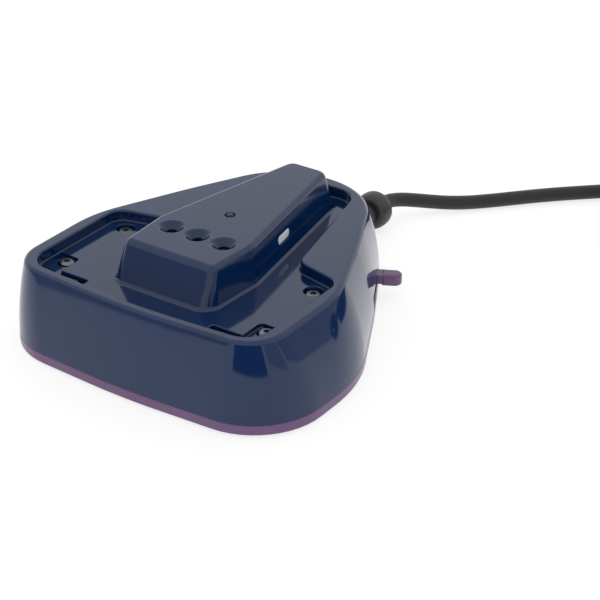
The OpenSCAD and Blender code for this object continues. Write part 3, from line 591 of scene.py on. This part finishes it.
def atWall(x, y, z):
    a = math.radians(taperAngle)
    return (leverX + x * math.cos(a) - y * math.sin(a), leverY + x * math.sin(a) + y * math.cos(a), z)


def upright(x0=0, y0=0, z0=0):
    return lambda x, y, z: (x0 + x, y0 + y, z0 + z)


# Steps of [inset, rise] round the upper edge and the lower edge of a wall
def overEdge(r, n=5):
    angles = [math.pi / 2 * i / n for i in range(n + 1)]
    return [(r * (1 - math.cos(a)), r * (math.sin(a) - 1)) for a in angles]


def underEdge(r, n=5):
    angles = [math.pi / 2 * i / n for i in range(n + 1)]
    return [(r * (1 - math.sin(a)), r * (1 - math.cos(a))) for a in angles]


# Rectangle with rounded corners as an outline
def pad(x0, y0, x1, y1, corner=0.3, steps=4):
    return rounded([(x0, y0, corner), (x1, y0, corner), (x1, y1, corner), (x0, y1, corner)], steps)


# Outline moved inwards along its own normals
def offsetOutline(outline, by):
    result = []
    for i, here in enumerate(outline):
        here = Vector(here)
        before, after = Vector(outline[i - 1]), Vector(outline[(i + 1) % len(outline)])
        if (here - before).length < 1e-6 or (after - here).length < 1e-6:
            result.append(tuple(here))
            continue
        tangent = ((here - before).normalized() + (after - here).normalized()).normalized()
        result.append((here.x - tangent.y * by, here.y + tangent.x * by))
    return result


# Block on an outline, its lower and upper edges rounded
def block(name, outline, low, high, place=upright(), under=0, over=0):
    steps = [(by, low + up) for by, up in underEdge(under, 4)] if under else [(0, low)]
    steps += [(by, high + up) for by, up in overEdge(over, 4)] if over else [(0, high)]
    return loft(name, [[place(x, y, z) for x, y in offsetOutline(outline, by)] for by, z in steps])


def rod(name, radius, low, high, place=upright(), sides=48):
    return turned(name, [(radius, low), (radius, high)], place, sides)


# Places for pieces that lie along y, such as the lead guard, at a height above the table
def alongY(height):
    return lambda x, y, z: (x, z, height + y)


# ---- housing ----

lens = {"place": (22.5, 5.6, 49.2), "turn": 11.11, "long": 13.0, "tall": 4.4, "deep": 3.0, "edge": 0.55}


def atLens(u, v, w):
    x, y, z = lens["place"]
    a = math.radians(lens["turn"])
    return (x + w * math.cos(a) - u * math.sin(a), y + w * math.sin(a) + u * math.cos(a), z + v)


housing = {"rimOuter": 1.8, "rimInner": 1.1, "wellFillet": 0.9, "towerFillet": 1.5, "towerEdge": 2.4}
screws = {"rear": (54.8, -17), "front": (57.5, -57), "base": (18, 34), "hole": 1.55, "boss": 5.5, "bossLow": 29,
          "baseBoss": 4.5, "baseBossLow": 12.5, "counterbore": 4.5, "lip": 0.35, "rearDeep": 4, "frontDeep": 2}
funnel = {"pitch": 15, "y": -31, "rim": 6.3, "throat": 3.15, "deep": 3.1}
plungerSeat = {"y": -6, "hole": 2, "dish": 2.6, "dishDeep": 0.8, "lip": 0.3, "boss": 5.7}
# Sunken front corners of the well, and their thickening underneath
corner = {"x": 61.6, "half": 9.6, "y": (-72.4, -53.6), "rounding": 2.6, "deep": 2, "underX": 58.5,
          "underHalf": 8.5, "underY": (-73.2, -52.1)}
slot = {"x": 44, "half": 8.5, "y": (-71.7, -67.3), "rounding": 1.2, "lip": 0.6}
window = {"x": (-7.4, 4), "y": (-18.5, 14.5), "z": (3, 13.3)}
contactSeat = {"half": 21.7, "y": (-38.5, -23.5), "low": 54}
guardHole = {"radius": 7, "y": (81, 93), "height": 10.5}
aboveAll = 62
seamInset = 0.35  # small bevel on both sides of the seam between housing and plate


def makeBodyShell(size):
    top, seam = body["rim"], body["seam"]
    levels = (seam + seamInset, 8, 10, 12, 14, 17, 20, 23, 26, 29, 32, 35, 38, 41, 43)
    rings = [atHeight(drawnIn(bodyLine(seam), seamInset), seam)] + [atHeight(bodyLine(z), z) for z in levels]
    rings += [atHeight(drawnIn(bodyLine(top + up), by), top + up) for by, up in overEdge(size["rimOuter"], 6)]
    return loft("shell", rings)


def makeWellCutter(size):
    rings = [atHeight(drawnIn(wellLine, by), wellZ + up) for by, up in underEdge(size["wellFillet"], 4)]
    rings += [atHeight(drawnIn(wellLine, -by), body["rim"] + up) for by, up in overEdge(size["rimInner"], 5)]
    return loft("wellCutter", rings + [atHeight(drawnIn(wellLine, -size["rimInner"]), body["rim"] + 2)])


def makeTower(size):
    fillet, edge = underEdge(size["towerFillet"]), overEdge(size["towerEdge"], 7)
    rings = [atHeight(drawnIn(towerFoot, -size["towerFillet"]), wellZ - 1)]
    rings += [atHeight(drawnIn(towerLine(wellZ + up), -by), wellZ + up) for by, up in fillet]
    rings += [atHeight(towerLine(z), z) for z in (46, 50, 54)]
    rings += [atHeight(drawnIn(towerLine(towerZ + up), by), towerZ + up) for by, up in edge]
    return loft("tower", rings)


# Cutter for a hole with a rounded lip at the surface
def makeHole(name, place, radius, depth, lip, sides=56):
    steps = [(radius, -depth)] + [(radius + by, up) for by, up in overEdge(lip, 4)]
    return turned(name, steps + [(radius + lip, 1.5)], place, sides)


# The space inside the walls, less the screw bosses and the thickening under the sunken corners
def makeInside():
    wall, roof = body["wall"], wellZ - body["wall"]
    inside = loft("inside", [atHeight(drawnIn(bodyLine(z), wall), z) for z in (5.9, 12, 18, 24, 30, roof)])
    for x, y in (screws["rear"], screws["front"]):
        for side in (-1, 1):
            cut(inside, rod("boss", screws["boss"], screws["bossLow"], aboveAll, upright(side * x, y)))
    x, y = screws["base"]
    half, (front, rear) = corner["underHalf"], corner["underY"]
    for side in (-1, 1):
        cut(inside, rod("boss", screws["baseBoss"], screws["baseBossLow"], aboveAll, upright(side * x, y)))
        middle = side * corner["underX"]
        cut(inside, block("thickening", pad(middle - half, front, middle + half, rear), roof - 2, aboveAll))
    return inside


def makeTowerInside():
    wall, half, (front, rear) = body["wall"], contactSeat["half"], contactSeat["y"]
    levels = (wellZ - wall - 1, 47, towerZ - wall)
    inside = loft("towerInside", [atHeight(drawnIn(towerLine(z), wall), z) for z in levels])
    boss = rod("guideBoss", plungerSeat["boss"], contactSeat["low"], aboveAll, upright(0, plungerSeat["y"]))
    return cut(inside, block("seat", pad(-half, front, half, rear), contactSeat["low"], aboveAll), boss)


def makeFunnel(x, size):
    rim, throat, coneEnd = size["rim"], size["throat"], towerZ - size["deep"]
    steps = [(throat, 50), (throat, coneEnd), (throat + 0.25, coneEnd + 0.25), (rim - 0.75, towerZ - 0.6)]
    steps += [(rim - 0.45, towerZ - 0.34), (rim - 0.12, towerZ - 0.12), (rim + 0.35, towerZ)]
    return turned("funnel", steps + [(rim + 0.35, towerZ + 1)], upright(x, size["y"]))


def makeSunkenCorner(side, size):
    middle, (front, rear) = side * size["x"], size["y"]
    outline = pad(middle - size["half"], front, middle + size["half"], rear, size["rounding"])
    made = block("corner", outline, wellZ - size["deep"], 47, under=0.6)
    inWell = loft("inWell", [atHeight(drawnIn(wellLine, 0.6), z) for z in (30, 60)])
    return cut(made, inWell, operation="INTERSECT")


def cutSlot(shell, side, size):
    middle, (front, rear), lip = side * size["x"], size["y"], size["lip"]
    outline = pad(middle - size["half"], front, middle + size["half"], rear, size["rounding"])
    cut(shell, block("slot", outline, 30, wellZ - lip))
    rings = [(0, wellZ - lip - 0.01)] + [(-by, wellZ + up) for by, up in overEdge(lip, 4)] + [(-lip, wellZ + 1)]
    cut(shell, loft("slotLip", [[(x, y, z) for x, y in offsetOutline(outline, by)] for by, z in rings]))


def cutScrewHole(shell, x, y, surface, deep):
    cut(shell, makeHole("counterbore", upright(x, y, surface), screws["counterbore"], deep, screws["lip"]))
    cut(shell, rod("screwHole", screws["hole"], 20, 45, upright(x, y), 24))


def makeHousing(size):
    shell = cut(makeBodyShell(size), makeWellCutter(size))
    joined(shell, makeTower(size))
    cut(shell, makeInside())
    cut(shell, makeTowerInside())
    for i in (-1, 0, 1):
        cut(shell, makeFunnel(i * funnel["pitch"], funnel))
    dish = makeHole("plungerDish", upright(0, plungerSeat["y"], towerZ), plungerSeat["dish"],
                    plungerSeat["dishDeep"], plungerSeat["lip"])
    cut(shell, rod("plungerHole", plungerSeat["hole"], 45, aboveAll, upright(0, plungerSeat["y"])), dish)
    for side in (-1, 1):
        cut(shell, makeSunkenCorner(side, corner))
        x, y = screws["rear"]
        cutScrewHole(shell, side * x, y, wellZ, screws["rearDeep"])
        x, y = screws["front"]
        cutScrewHole(shell, side * x, y, wellZ - corner["deep"], screws["frontDeep"])
        x, y = screws["base"]
        cut(shell, rod("screwHole", screws["hole"], 12, 25, upright(side * x, y), 24))
        cutSlot(shell, side, slot)
    (x0, x1), (y0, y1), (low, high) = window["x"], window["y"], window["z"]
    half, rise = lens["long"] / 2 + 0.03, lens["tall"] / 2 + 0.03
    front, rear = guardHole["y"]
    cut(shell, block("window", pad(x0, y0, x1, y1), low, high, atWall),
        block("lensHole", pad(-half, -rise, half, rise, 2.2, 10), -6, 1.5, atLens),
        rod("guardHole", guardHole["radius"], front, rear, alongY(guardHole["height"]), 56))
    return smoothed(cleaned(shell))


# Gives a finished piece its body, the nodes it stands for, and its finish
def fit(obj, name, rides, nodes, slotName, finish=None):
    obj.name = obj.data.name = name
    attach(obj, rides)
    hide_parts(*nodes)
    coat(obj, finish or slotName)
    return obj


shell = fit(makeHousing(housing), "housing_shell", "root", ["upper_housing", "tower_wall", "tower_top_plate"],
            "navy_plastic")
print("housing made:", len(shell.data.polygons), "faces")

# ---- base plate ----

plate = {"underside": 1.0, "floor": 3.5, "seam": 6.0, "edge": 0.8, "root": 3.0, "postTop": 29.0,
         "postRadius": 4.5, "basePostTop": 12.5, "keeperPosts": ((-18.9, -17), (-18.9, 13), (-18.9, -2)),
         "keeperRadius": 3.0, "keeperTop": 13.4, "cableSeat": (14.5, 72, 80, 10.1),
         "cablePosts": (15, 65, 2.0, 8.5)}
sill = {"x": (-2.7, 0.7), "y": (-18.4, 14.4), "low": 5.0, "top": 7.7}  # closes the lever's window from below
rails = {"y": (-30, 26), "lines": ((-15.3, -13.7, 9.1), (-12.8, -11.2, 7.6), (-8.6, -7.0, 7.6))}
footPlaces = {"front": (60, -66), "rear": (18, 73)}
plateHoles = {"head": 3.5, "headDeep": 3.4, "clamp": (10.5, 76), "foot": 7.05, "footDeep": 2.5, "collar": 8.4,
              "collarY": (82, 85.2), "lead": 3.8, "leadY": (70, 82), "guardY": (80.6, 94)}


def makePosts(size):
    root, top = size["root"], size["postTop"]
    made = [rod("post", size["postRadius"], root, top, upright(side * x, y), 40)
            for x, y in (screws["rear"], screws["front"]) for side in (-1, 1)]
    x, y = screws["base"]
    made += [rod("post", size["postRadius"], root, size["basePostTop"], upright(side * x, y), 40)
             for side in (-1, 1)]
    made += [rod("post", size["keeperRadius"], root, size["keeperTop"],
                 lambda x, y, z, px=px, py=py: atWall(px + x, py + y, z), 32) for px, py in size["keeperPosts"]]
    x, y, radius, top = size["cablePosts"]
    made += [rod("post", radius, root, top, upright(side * x, y), 24) for side in (-1, 1)]
    half, front, rear, top = size["cableSeat"]
    made.append(block("seat", pad(-half, front, half, rear), root, top))
    front, rear = rails["y"]
    for x0, x1, top in rails["lines"]:
        made.append(block("rail", pad(x0, front, x1, rear, 0.2), root, top, atWall))
    return made


def makePlateHoles(size):
    made = [rod("screwHole", screws["hole"], 15, 40, upright(side * x, y), 24)
            for x, y in (screws["rear"], screws["front"]) for side in (-1, 1)]
    for side in (-1, 1):
        x, y = screws["base"]
        made.append(rod("headHole", size["head"], 0, size["headDeep"], upright(side * x, y), 40))
        made.append(rod("shankHole", screws["hole"], 0, 14, upright(side * x, y), 24))
        x, y = size["clamp"]
        made.append(rod("clampHole", screws["hole"], plate["floor"], 14, upright(side * x, y), 24))
        made += [rod("footHole", size["foot"], 0, size["footDeep"], upright(side * x, y), 56)
                 for x, y in footPlaces.values()]
    atGuard = alongY(guardHole["height"])
    made.append(rod("guardHole", guardHole["radius"], *size["guardY"], atGuard, 56))
    made.append(rod("collarSpace", size["collar"], *size["collarY"], atGuard, 56))
    return made + [rod("leadSpace", size["lead"], *size["leadY"], atGuard, 40)]


def makePlate(size):
    low, seam = size["underside"], size["seam"]
    rings = [atHeight(drawnIn(bodyLine(low + up), by), low + up) for by, up in underEdge(size["edge"], 5)]
    rings += [atHeight(bodyLine(z), z) for z in (3, 4.5, seam - seamInset)]
    rings += [atHeight(drawnIn(bodyLine(seam), seamInset), seam)]
    made = loft("plate", rings)
    cut(made, loft("tray", [atHeight(drawnIn(bodyLine(z), body["wall"]), z) for z in (size["floor"], 8)]))
    (x0, x1), (y0, y1) = sill["x"], sill["y"]
    joined(made, block("sill", pad(x0, y0, x1, y1, 0.1), sill["low"], sill["top"], atWall), *makePosts(size))
    return smoothed(cut(made, *makePlateHoles(plateHoles)))


fit(makePlate(plate), "plate", "root", ["base_plate"], "purple_plastic")
print("base plate made")

# ---- feet ----

foot = {"radius": 7.0, "height": 2.5, "dish": 3.6}


def makeFoot(name, x, y, size):
    r, dish = size["radius"], size["dish"]
    steps = [(dish - 0.9, 0.45), (dish - 0.3, 0.32), (dish, 0.06), (dish + 0.3, 0), (r - 0.9, 0)]
    steps += [(r - 0.45, 0.12), (r - 0.15, 0.42), (r, 0.8), (r, size["height"])]
    return smoothed(turned(name, steps, upright(x, y), 56))


for end, (x, y) in footPlaces.items():
    for hand, side in (("left", -1), ("right", 1)):
        name = end + "_" + hand
        fit(makeFoot("pad_" + name, side * x, y, foot), "pad_" + name, "root", ["foot_" + name], "black_rubber")
print("feet made")

# ---- well screws ----

wellScrew = {"head": 3.8, "rise": 2.2, "shank": 1.5, "length": 20.5, "recess": 3.2, "recessWidth": 1.0,
             "recessTurn": 12, "seat": 37.3}


def makeScrew(x, y, size):
    r, rise = size["head"], size["rise"]
    steps = [(size["shank"], -size["length"]), (size["shank"], -0.02), (r, 0), (r, 1.2), (r - 0.12, 1.6),
             (r - 0.45, 1.92), (r - 1.0, 2.1), (r - 1.5, rise)]
    made = turned("screw", steps, upright(x, y, size["seat"]), 40)
    half, wide = size["recess"] / 2, size["recessWidth"] / 2
    for i in range(3):
        a = math.radians(60 * i + size["recessTurn"])
        c, s = math.cos(a), math.sin(a)
        cut(made, block("bar", pad(-half, -wide, half, wide, 0.2), rise - 1.1, rise + 1,
                        lambda u, v, h, c=c, s=s: (x + u * c - v * s, y + u * s + v * c, size["seat"] + h)))
    return smoothed(made)


fourScrews = [makeScrew(side * x, y, wellScrew) for x, y in (screws["rear"], screws["front"])
              for side in (-1, 1)]
fit(grouped(*fourScrews), "screws_in_well", "root", ["well_screws"], "zinc_steel")
print("well screws made")

# ---- presence plunger ----

plunger = {"radius": 1.7, "tip": 59.6, "foot": 35.4, "collar": 3.7, "collarTop": 53.4, "collarRise": 1.6,
           "dome": 1.0, "edge": 0.15}


def makePlunger(size):
    r, c, edge, shoulder = size["radius"], size["collar"], size["edge"], size["tip"] - size["dome"]
    top, low = size["collarTop"], size["collarTop"] - size["collarRise"]
    steps = [(r - 0.3, size["foot"]), (r, size["foot"] + 0.3), (r, low), (c - edge, low), (c, low + 0.2)]
    steps += [(c, top - 0.2), (c - edge, top), (r, top), (r, shoulder)]
    for t in map(math.radians, (20, 40, 60, 78)):
        steps.append((r * math.cos(t), shoulder + size["dome"] * math.sin(t)))
    return smoothed(turned("plunger", steps, upright(0, plungerSeat["y"]), 48), 50)


fit(makePlunger(plunger), "pin", "plunger", ["presence_plunger"], "black_plastic", "navy_plastic")
print("plunger made")

# ---- plunger spring ----

spring = {"coil": 2.8, "wire": 0.35, "low": 40.4, "high": 51.35, "turns": 5, "steps": 28, "sides": 12,
          "keep": 0.78}


def makeSpring(size):
    rings, last, y = [], size["turns"] * size["steps"], plungerSeat["y"]
    for i in range(last + 1):
        a = 2 * math.pi * i / size["steps"]
        height = size["low"] + (size["high"] - size["low"]) * i / last
        ring = []
        for t in [2 * math.pi * k / size["sides"] for k in range(size["sides"])]:
            reach, rise = size["coil"] + size["wire"] * math.cos(t), size["wire"] * math.sin(t)
            ring.append((reach * math.cos(a), y + reach * math.sin(a), height + rise))
        rings.append(ring)
    return smoothed(loft("spring", rings), 50)


returnSpring = fit(makeSpring(spring), "return_spring", "root", ["plunger_spring"], "spring_steel")
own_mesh(returnSpring)
print("plunger spring made")

# ---- lock lever ----

lever = {"at": 9.0, "halfWidth": 3.5, "end": 12.6, "knob": 2.4, "knobLow": 7.2, "knobHigh": 13.1, "low": 8.1,
         "high": 12.9, "edge": 1.35, "carriage": (-13.4, -6.4, 13.0, 7.9, 13.1), "pin": (-11.8, 1.3, 20.8)}


def makeLever(size):
    at, half = size["at"], size["halfWidth"]
    neck = pad(-11, at - half, size["knob"] + 3, at + half, 1.0)
    made = block("lever", neck, size["low"], size["high"], atWall, under=0.4, over=0.4)
    front, rear, start, end = at - half - 0.2, at + half + 0.2, size["knob"], size["end"]
    knob = rounded([(start, front, 1.6), (end, front, half), (end, rear, half), (start, rear, 1.6)], 10)
    inner, outer, reach, low, high = size["carriage"]
    px, radius, top = size["pin"]
    grouped(made, block("knob", knob, size["knobLow"], size["knobHigh"], atWall, 1.1, size["edge"]),
            block("carriage", pad(inner, at - reach, outer, at + reach, 0.6), low, high, atWall, 0.3, 0.3),
            rod("pin", radius, high - 1, top, lambda x, y, z: atWall(px + x, at + y, z), 32))
    return smoothed(made)


fit(makeLever(lever), "locking_tab", "lever", ["lock_lever"], "purple_plastic")
print("lever made")

# ---- indicator lens ----


def makeLens(size):
    half, rise = size["long"] / 2, size["tall"] / 2
    outline = pad(-half, -rise, half, rise, rise - 0.02, 10)
    return smoothed(block("lens", outline, -size["deep"], 0, atLens, over=size["edge"]), 50)


fit(makeLens(lens), "light_guide", "root", ["indicator_lens"], "white_lens")
print("lens made")

# ---- lead guard ----

guard = {"bore": 3.8, "collar": 8.2, "waist": 6.8, "neck": 6.2, "bulb": 9.8, "bulbAt": 118.0, "bulbHalf": 5.6,
         "end": 124.0, "height": 10.5}


# Round piece with a bore: its outer and inner surface in one profile, its first and last ring bridged
def hollowed(name, steps, place, sides=64):
    obj = loft(name, [[place(r * math.cos(2 * math.pi * i / sides), r * math.sin(2 * math.pi * i / sides), h)
                       for i in range(sides)] for r, h in steps], closed=False)
    pick(obj)
    bpy.ops.object.mode_set(mode="EDIT")
    bpy.ops.mesh.select_mode(type="EDGE")
    bpy.ops.mesh.select_all(action="DESELECT")
    bpy.ops.mesh.select_non_manifold()
    bpy.ops.mesh.bridge_edge_loops()
    bpy.ops.object.mode_set(mode="OBJECT")
    return cleaned(obj)


def makeGuard(size):
    neck, bulb, at, half = size["neck"], size["bulb"], size["bulbAt"], size["bulbHalf"]
    steps = [(size["bore"], 82.1), (size["collar"] - 0.3, 82.1), (size["collar"], 82.4), (size["collar"], 84.8),
             (size["collar"] - 0.3, 85.1), (size["waist"], 85.1), (size["waist"], 91.5), (7.55, 91.5), (7.6, 91.7),
             (7.55, 93), (7.35, 96), (6.9, 100), (6.5, 104), (6.28, 108), (neck, 111.2), (neck - 0.5, 111.9),
             (neck - 0.5, 112.3)]
    for t in range(-80, 86, 11):
        a = math.radians(t)
        swell, reach = max(math.cos(a), 0) ** 0.62, math.copysign(abs(math.sin(a)) ** 0.85, a)
        steps.append((neck + (bulb - neck) * swell, at + half * reach))
    steps += [(neck, size["end"] - 0.25), (neck - 0.5, size["end"]), (size["bore"] + 0.5, size["end"]),
              (size["bore"], size["end"] - 0.5)]
    return smoothed(hollowed("guard", steps, alongY(size["height"])), 40)


fit(makeGuard(guard), "flex_guard", "root", ["lead_guard"], "black_rubber")
print("lead guard made")

# ---- tie round the coil ----

tie = {"angle": 315, "middle": 41, "halfAcross": 12.65, "top": 16.2, "halfLong": 5.0, "thick": 1.2, "buckle": 4}


def atTie(u, v, w):
    a = math.radians(tie["angle"])
    x, y = lead["coilCentre"]
    reach = tie["middle"] + u
    return (x + reach * math.cos(a) - w * math.sin(a), y + reach * math.sin(a) + w * math.cos(a), v)


def makeTie(size):
    across, top, long, thick = size["halfAcross"], size["top"], size["halfLong"], size["thick"]
    made = block("tie", pad(-across, 0, across, top, 4.2, 8), -long, long, atTie, 0.3, 0.3)
    inside = pad(-across + thick, 0.4, across - thick, top - thick, 3.2, 8)
    cut(made, block("inside", inside, -long - 1, long + 1, atTie))
    buckle = pad(-size["buckle"], top - thick - 0.2, size["buckle"], top + 1.2, 0.5)
    return smoothed(joined(made, block("buckle", buckle, -long - 0.6, long + 0.6, atTie, 0.3, 0.3)))


fit(makeTie(tie), "strap", "root", ["lead_tie"], "tie_strap")
print("tie made")

# ---- plug ----

plug = {"axis": 200.5, "height": 18.4, "back": 158.0, "radius": 18.0, "length": 36.0, "relief": 26.0,
        "grooves": (23, 26.4, 29.8), "slotHalf": 2.6, "slotDeep": 2.3, "pin": 2.4, "pinLength": 19.0,
        "pitch": 19.0, "ribs": 4, "ribPitch": 4.6}


def atPlug(x, y, h):
    return (plug["axis"] + x, plug["back"] - h, plug["height"] + y)


def makePlugBody(size):
    r, long = size["radius"], size["length"]
    corners = [(7.6, 0, 0), (8.4, 0.2, 0), (12, 3, 2), (16.4, 12, 6), (r, 20, 5)]
    steps = profile(corners + [(r, 22, 0)])
    for start in size["grooves"]:
        steps += [(r, start), (r - 0.55, start + 0.5), (r - 0.7, start + 1), (r - 0.55, start + 1.5)]
        steps.append((r, start + 2))
    steps += [(r, long - 1.6), (r - 0.35, long - 0.7), (r - 1.2, long), (2.0, long)]
    made = turned("plugBody", steps, atPlug, 72)
    half, deep = size["slotHalf"], size["slotDeep"]
    for side in (-1, 1):
        middle = side * (r - 1.1)
        outline = pad(-half, middle - deep, half, middle + deep)
        cut(made, block("earthSlot", outline, long - 15, long + 5, atPlug))
    return smoothed(made)


def makePlugRelief(size):
    long = size["relief"]
    steps = [(3.8, -long), (4.6, -long), (4.95, -long + 0.3)]
    for i in range(size["ribs"]):
        start = -long + 4 + i * size["ribPitch"]
        wide = 4.95 + (start + long) / long * 2.55
        steps += [(wide, start - 0.2), (wide - 0.1, start), (4.6, start + 0.1), (4.6, start + 1.5),
                  (wide + 0.05, start + 1.6), (wide + 0.2, start + 1.85)]
    return smoothed(turned("relief", steps + [(7.5, -0.02), (7.0, 0)], atPlug, 48))


def makePins(size):
    r, low, high, half = size["pin"], size["length"], size["length"] + size["pinLength"], size["pitch"] / 2
    steps = [(r, low), (r, high - 2.4), (r - 0.2, high - 1.4), (r - 0.7, high - 0.5), (r - 1.4, high)]
    made = [turned("pins", steps, lambda x, y, h, middle=middle: atPlug(middle + x, y, h), 40)
            for middle in (-half, half)]
    return smoothed(grouped(*made))


fit(makePlugBody(plug), "mains_plug", "root", ["plug_body"], "plug_plastic")
fit(makePlugRelief(plug), "plug_sleeve", "root", ["plug_relief"], "plug_plastic", "black_rubber")
fit(makePins(plug), "plug_prongs", "root", ["plug_pins"], "plated_pins")
leadLength * mm
[tuple(p * mm) for p in leadLine]
print("plug made")

# ---- finishes of the frame's own parts, shown or hidden ----

cadFinishes = {
    "zinc_steel": ("base_screws", "keeper_screws", "detent_screw", "connector_screws", "guide_screws",
                   "terminal_screws", "clamp_screws", "well_screws"),
    "black_plastic": ("lever_keepers", "latch_bar", "connector_block", "plunger_guide", "microswitch_body",
                      "lead_clamp", "presence_plunger"),
    "spring_steel": ("detent_spring", "plunger_spring"),
    "pale_silicone": ("contact_seal",),
    "contact_brass": ("live_contact", "earth_contact", "neutral_contact", "microswitch_terminals"),
    "red_plastic": ("microswitch_button",),
    "led_epoxy": ("indicator_led",),
    "circuit_board": ("indicator_board",),
    "cream_plastic": ("terminal_block",),
    "brown_sleeve": ("live_wire",),
    "blue_sleeve": ("neutral_wire",),
    "earth_sleeve": ("earth_wire",),
    "lead_sheath": ("lead_tail", "lead", "lead_coil"),
    "plated_pins": ("plug_earth_strips", "plug_pins"),
    "navy_plastic": ("upper_housing", "tower_wall", "tower_top_plate"),
    "purple_plastic": ("base_plate", "lock_lever"),
    "black_rubber": ("foot_front_left", "foot_front_right", "foot_rear_left", "foot_rear_right", "lead_guard"),
    "white_lens": ("indicator_lens",),
    "tie_strap": ("lead_tie",),
    "plug_plastic": ("plug_body", "plug_relief"),
}
for finishName, nodeNames in cadFinishes.items():
    for nodeName in nodeNames:
        coat(bpy.data.objects[nodeName], finishName)
print("frame parts finished")

# ---- studio ----

studio = {"sky": 1.03, "floorTone": 0.3, "floorGlow": 0.75}
# Low grey and black cards seen only in the gloss: middle x and y, turn, width, height, brightness
cards = {"card_left": (-124, -237, -37, 300, 130, 0.45), "card_dark": (115, -161, 30, 127, 72, 0.08),
         "card_right": (259, -95, 85, 110, 100, 0.6), "card_rear": (325, 172, 125, 400, 120, 0.5)}


def makeStudio(settings):
    world = bpy.data.worlds.new("studio")
    world.use_nodes = True
    background = world.node_tree.nodes["Background"]
    background.inputs["Color"].default_value = (1, 1, 1, 1)
    background.inputs["Strength"].default_value = settings["sky"]
    bpy.context.scene.world = world
    bpy.context.scene.view_settings.view_transform = "Standard"
    deselectAll()
    bpy.ops.mesh.primitive_plane_add(size=8, location=(0, 0, -0.0002))
    ground = bpy.context.object
    ground.name = "studio_floor"
    tone = settings["floorTone"]
    paper = Finish("studio_paper", Roughness=0.9, Specular_IOR_Level=0.1, Base_Color=(tone, tone, tone, 1),
                   Emission_Color=(1, 1, 1, 1), Emission_Strength=settings["floorGlow"])
    ground.data.materials.append(paper.material)


def makeCard(name, x, y, turn, wide, high, brightness):
    deselectAll()
    bpy.ops.mesh.primitive_plane_add(size=1, location=(x * mm, y * mm, high * mm / 2),
                                     rotation=(math.pi / 2, 0, math.radians(turn)))
    card = bpy.context.object
    card.name = name
    card.scale = (wide * mm, high * mm, 1)
    card.visible_camera = card.visible_diffuse = card.visible_shadow = False
    grey = Finish(name + "_paper", Roughness=1.0, Specular_IOR_Level=0.0, Base_Color=(0, 0, 0, 1),
                  Emission_Color=(1, 1, 1, 1), Emission_Strength=brightness)
    card.data.materials.append(grey.material)


for name, settings in cards.items():
    makeCard(name, *settings)
makeStudio(studio)
print("studio set")
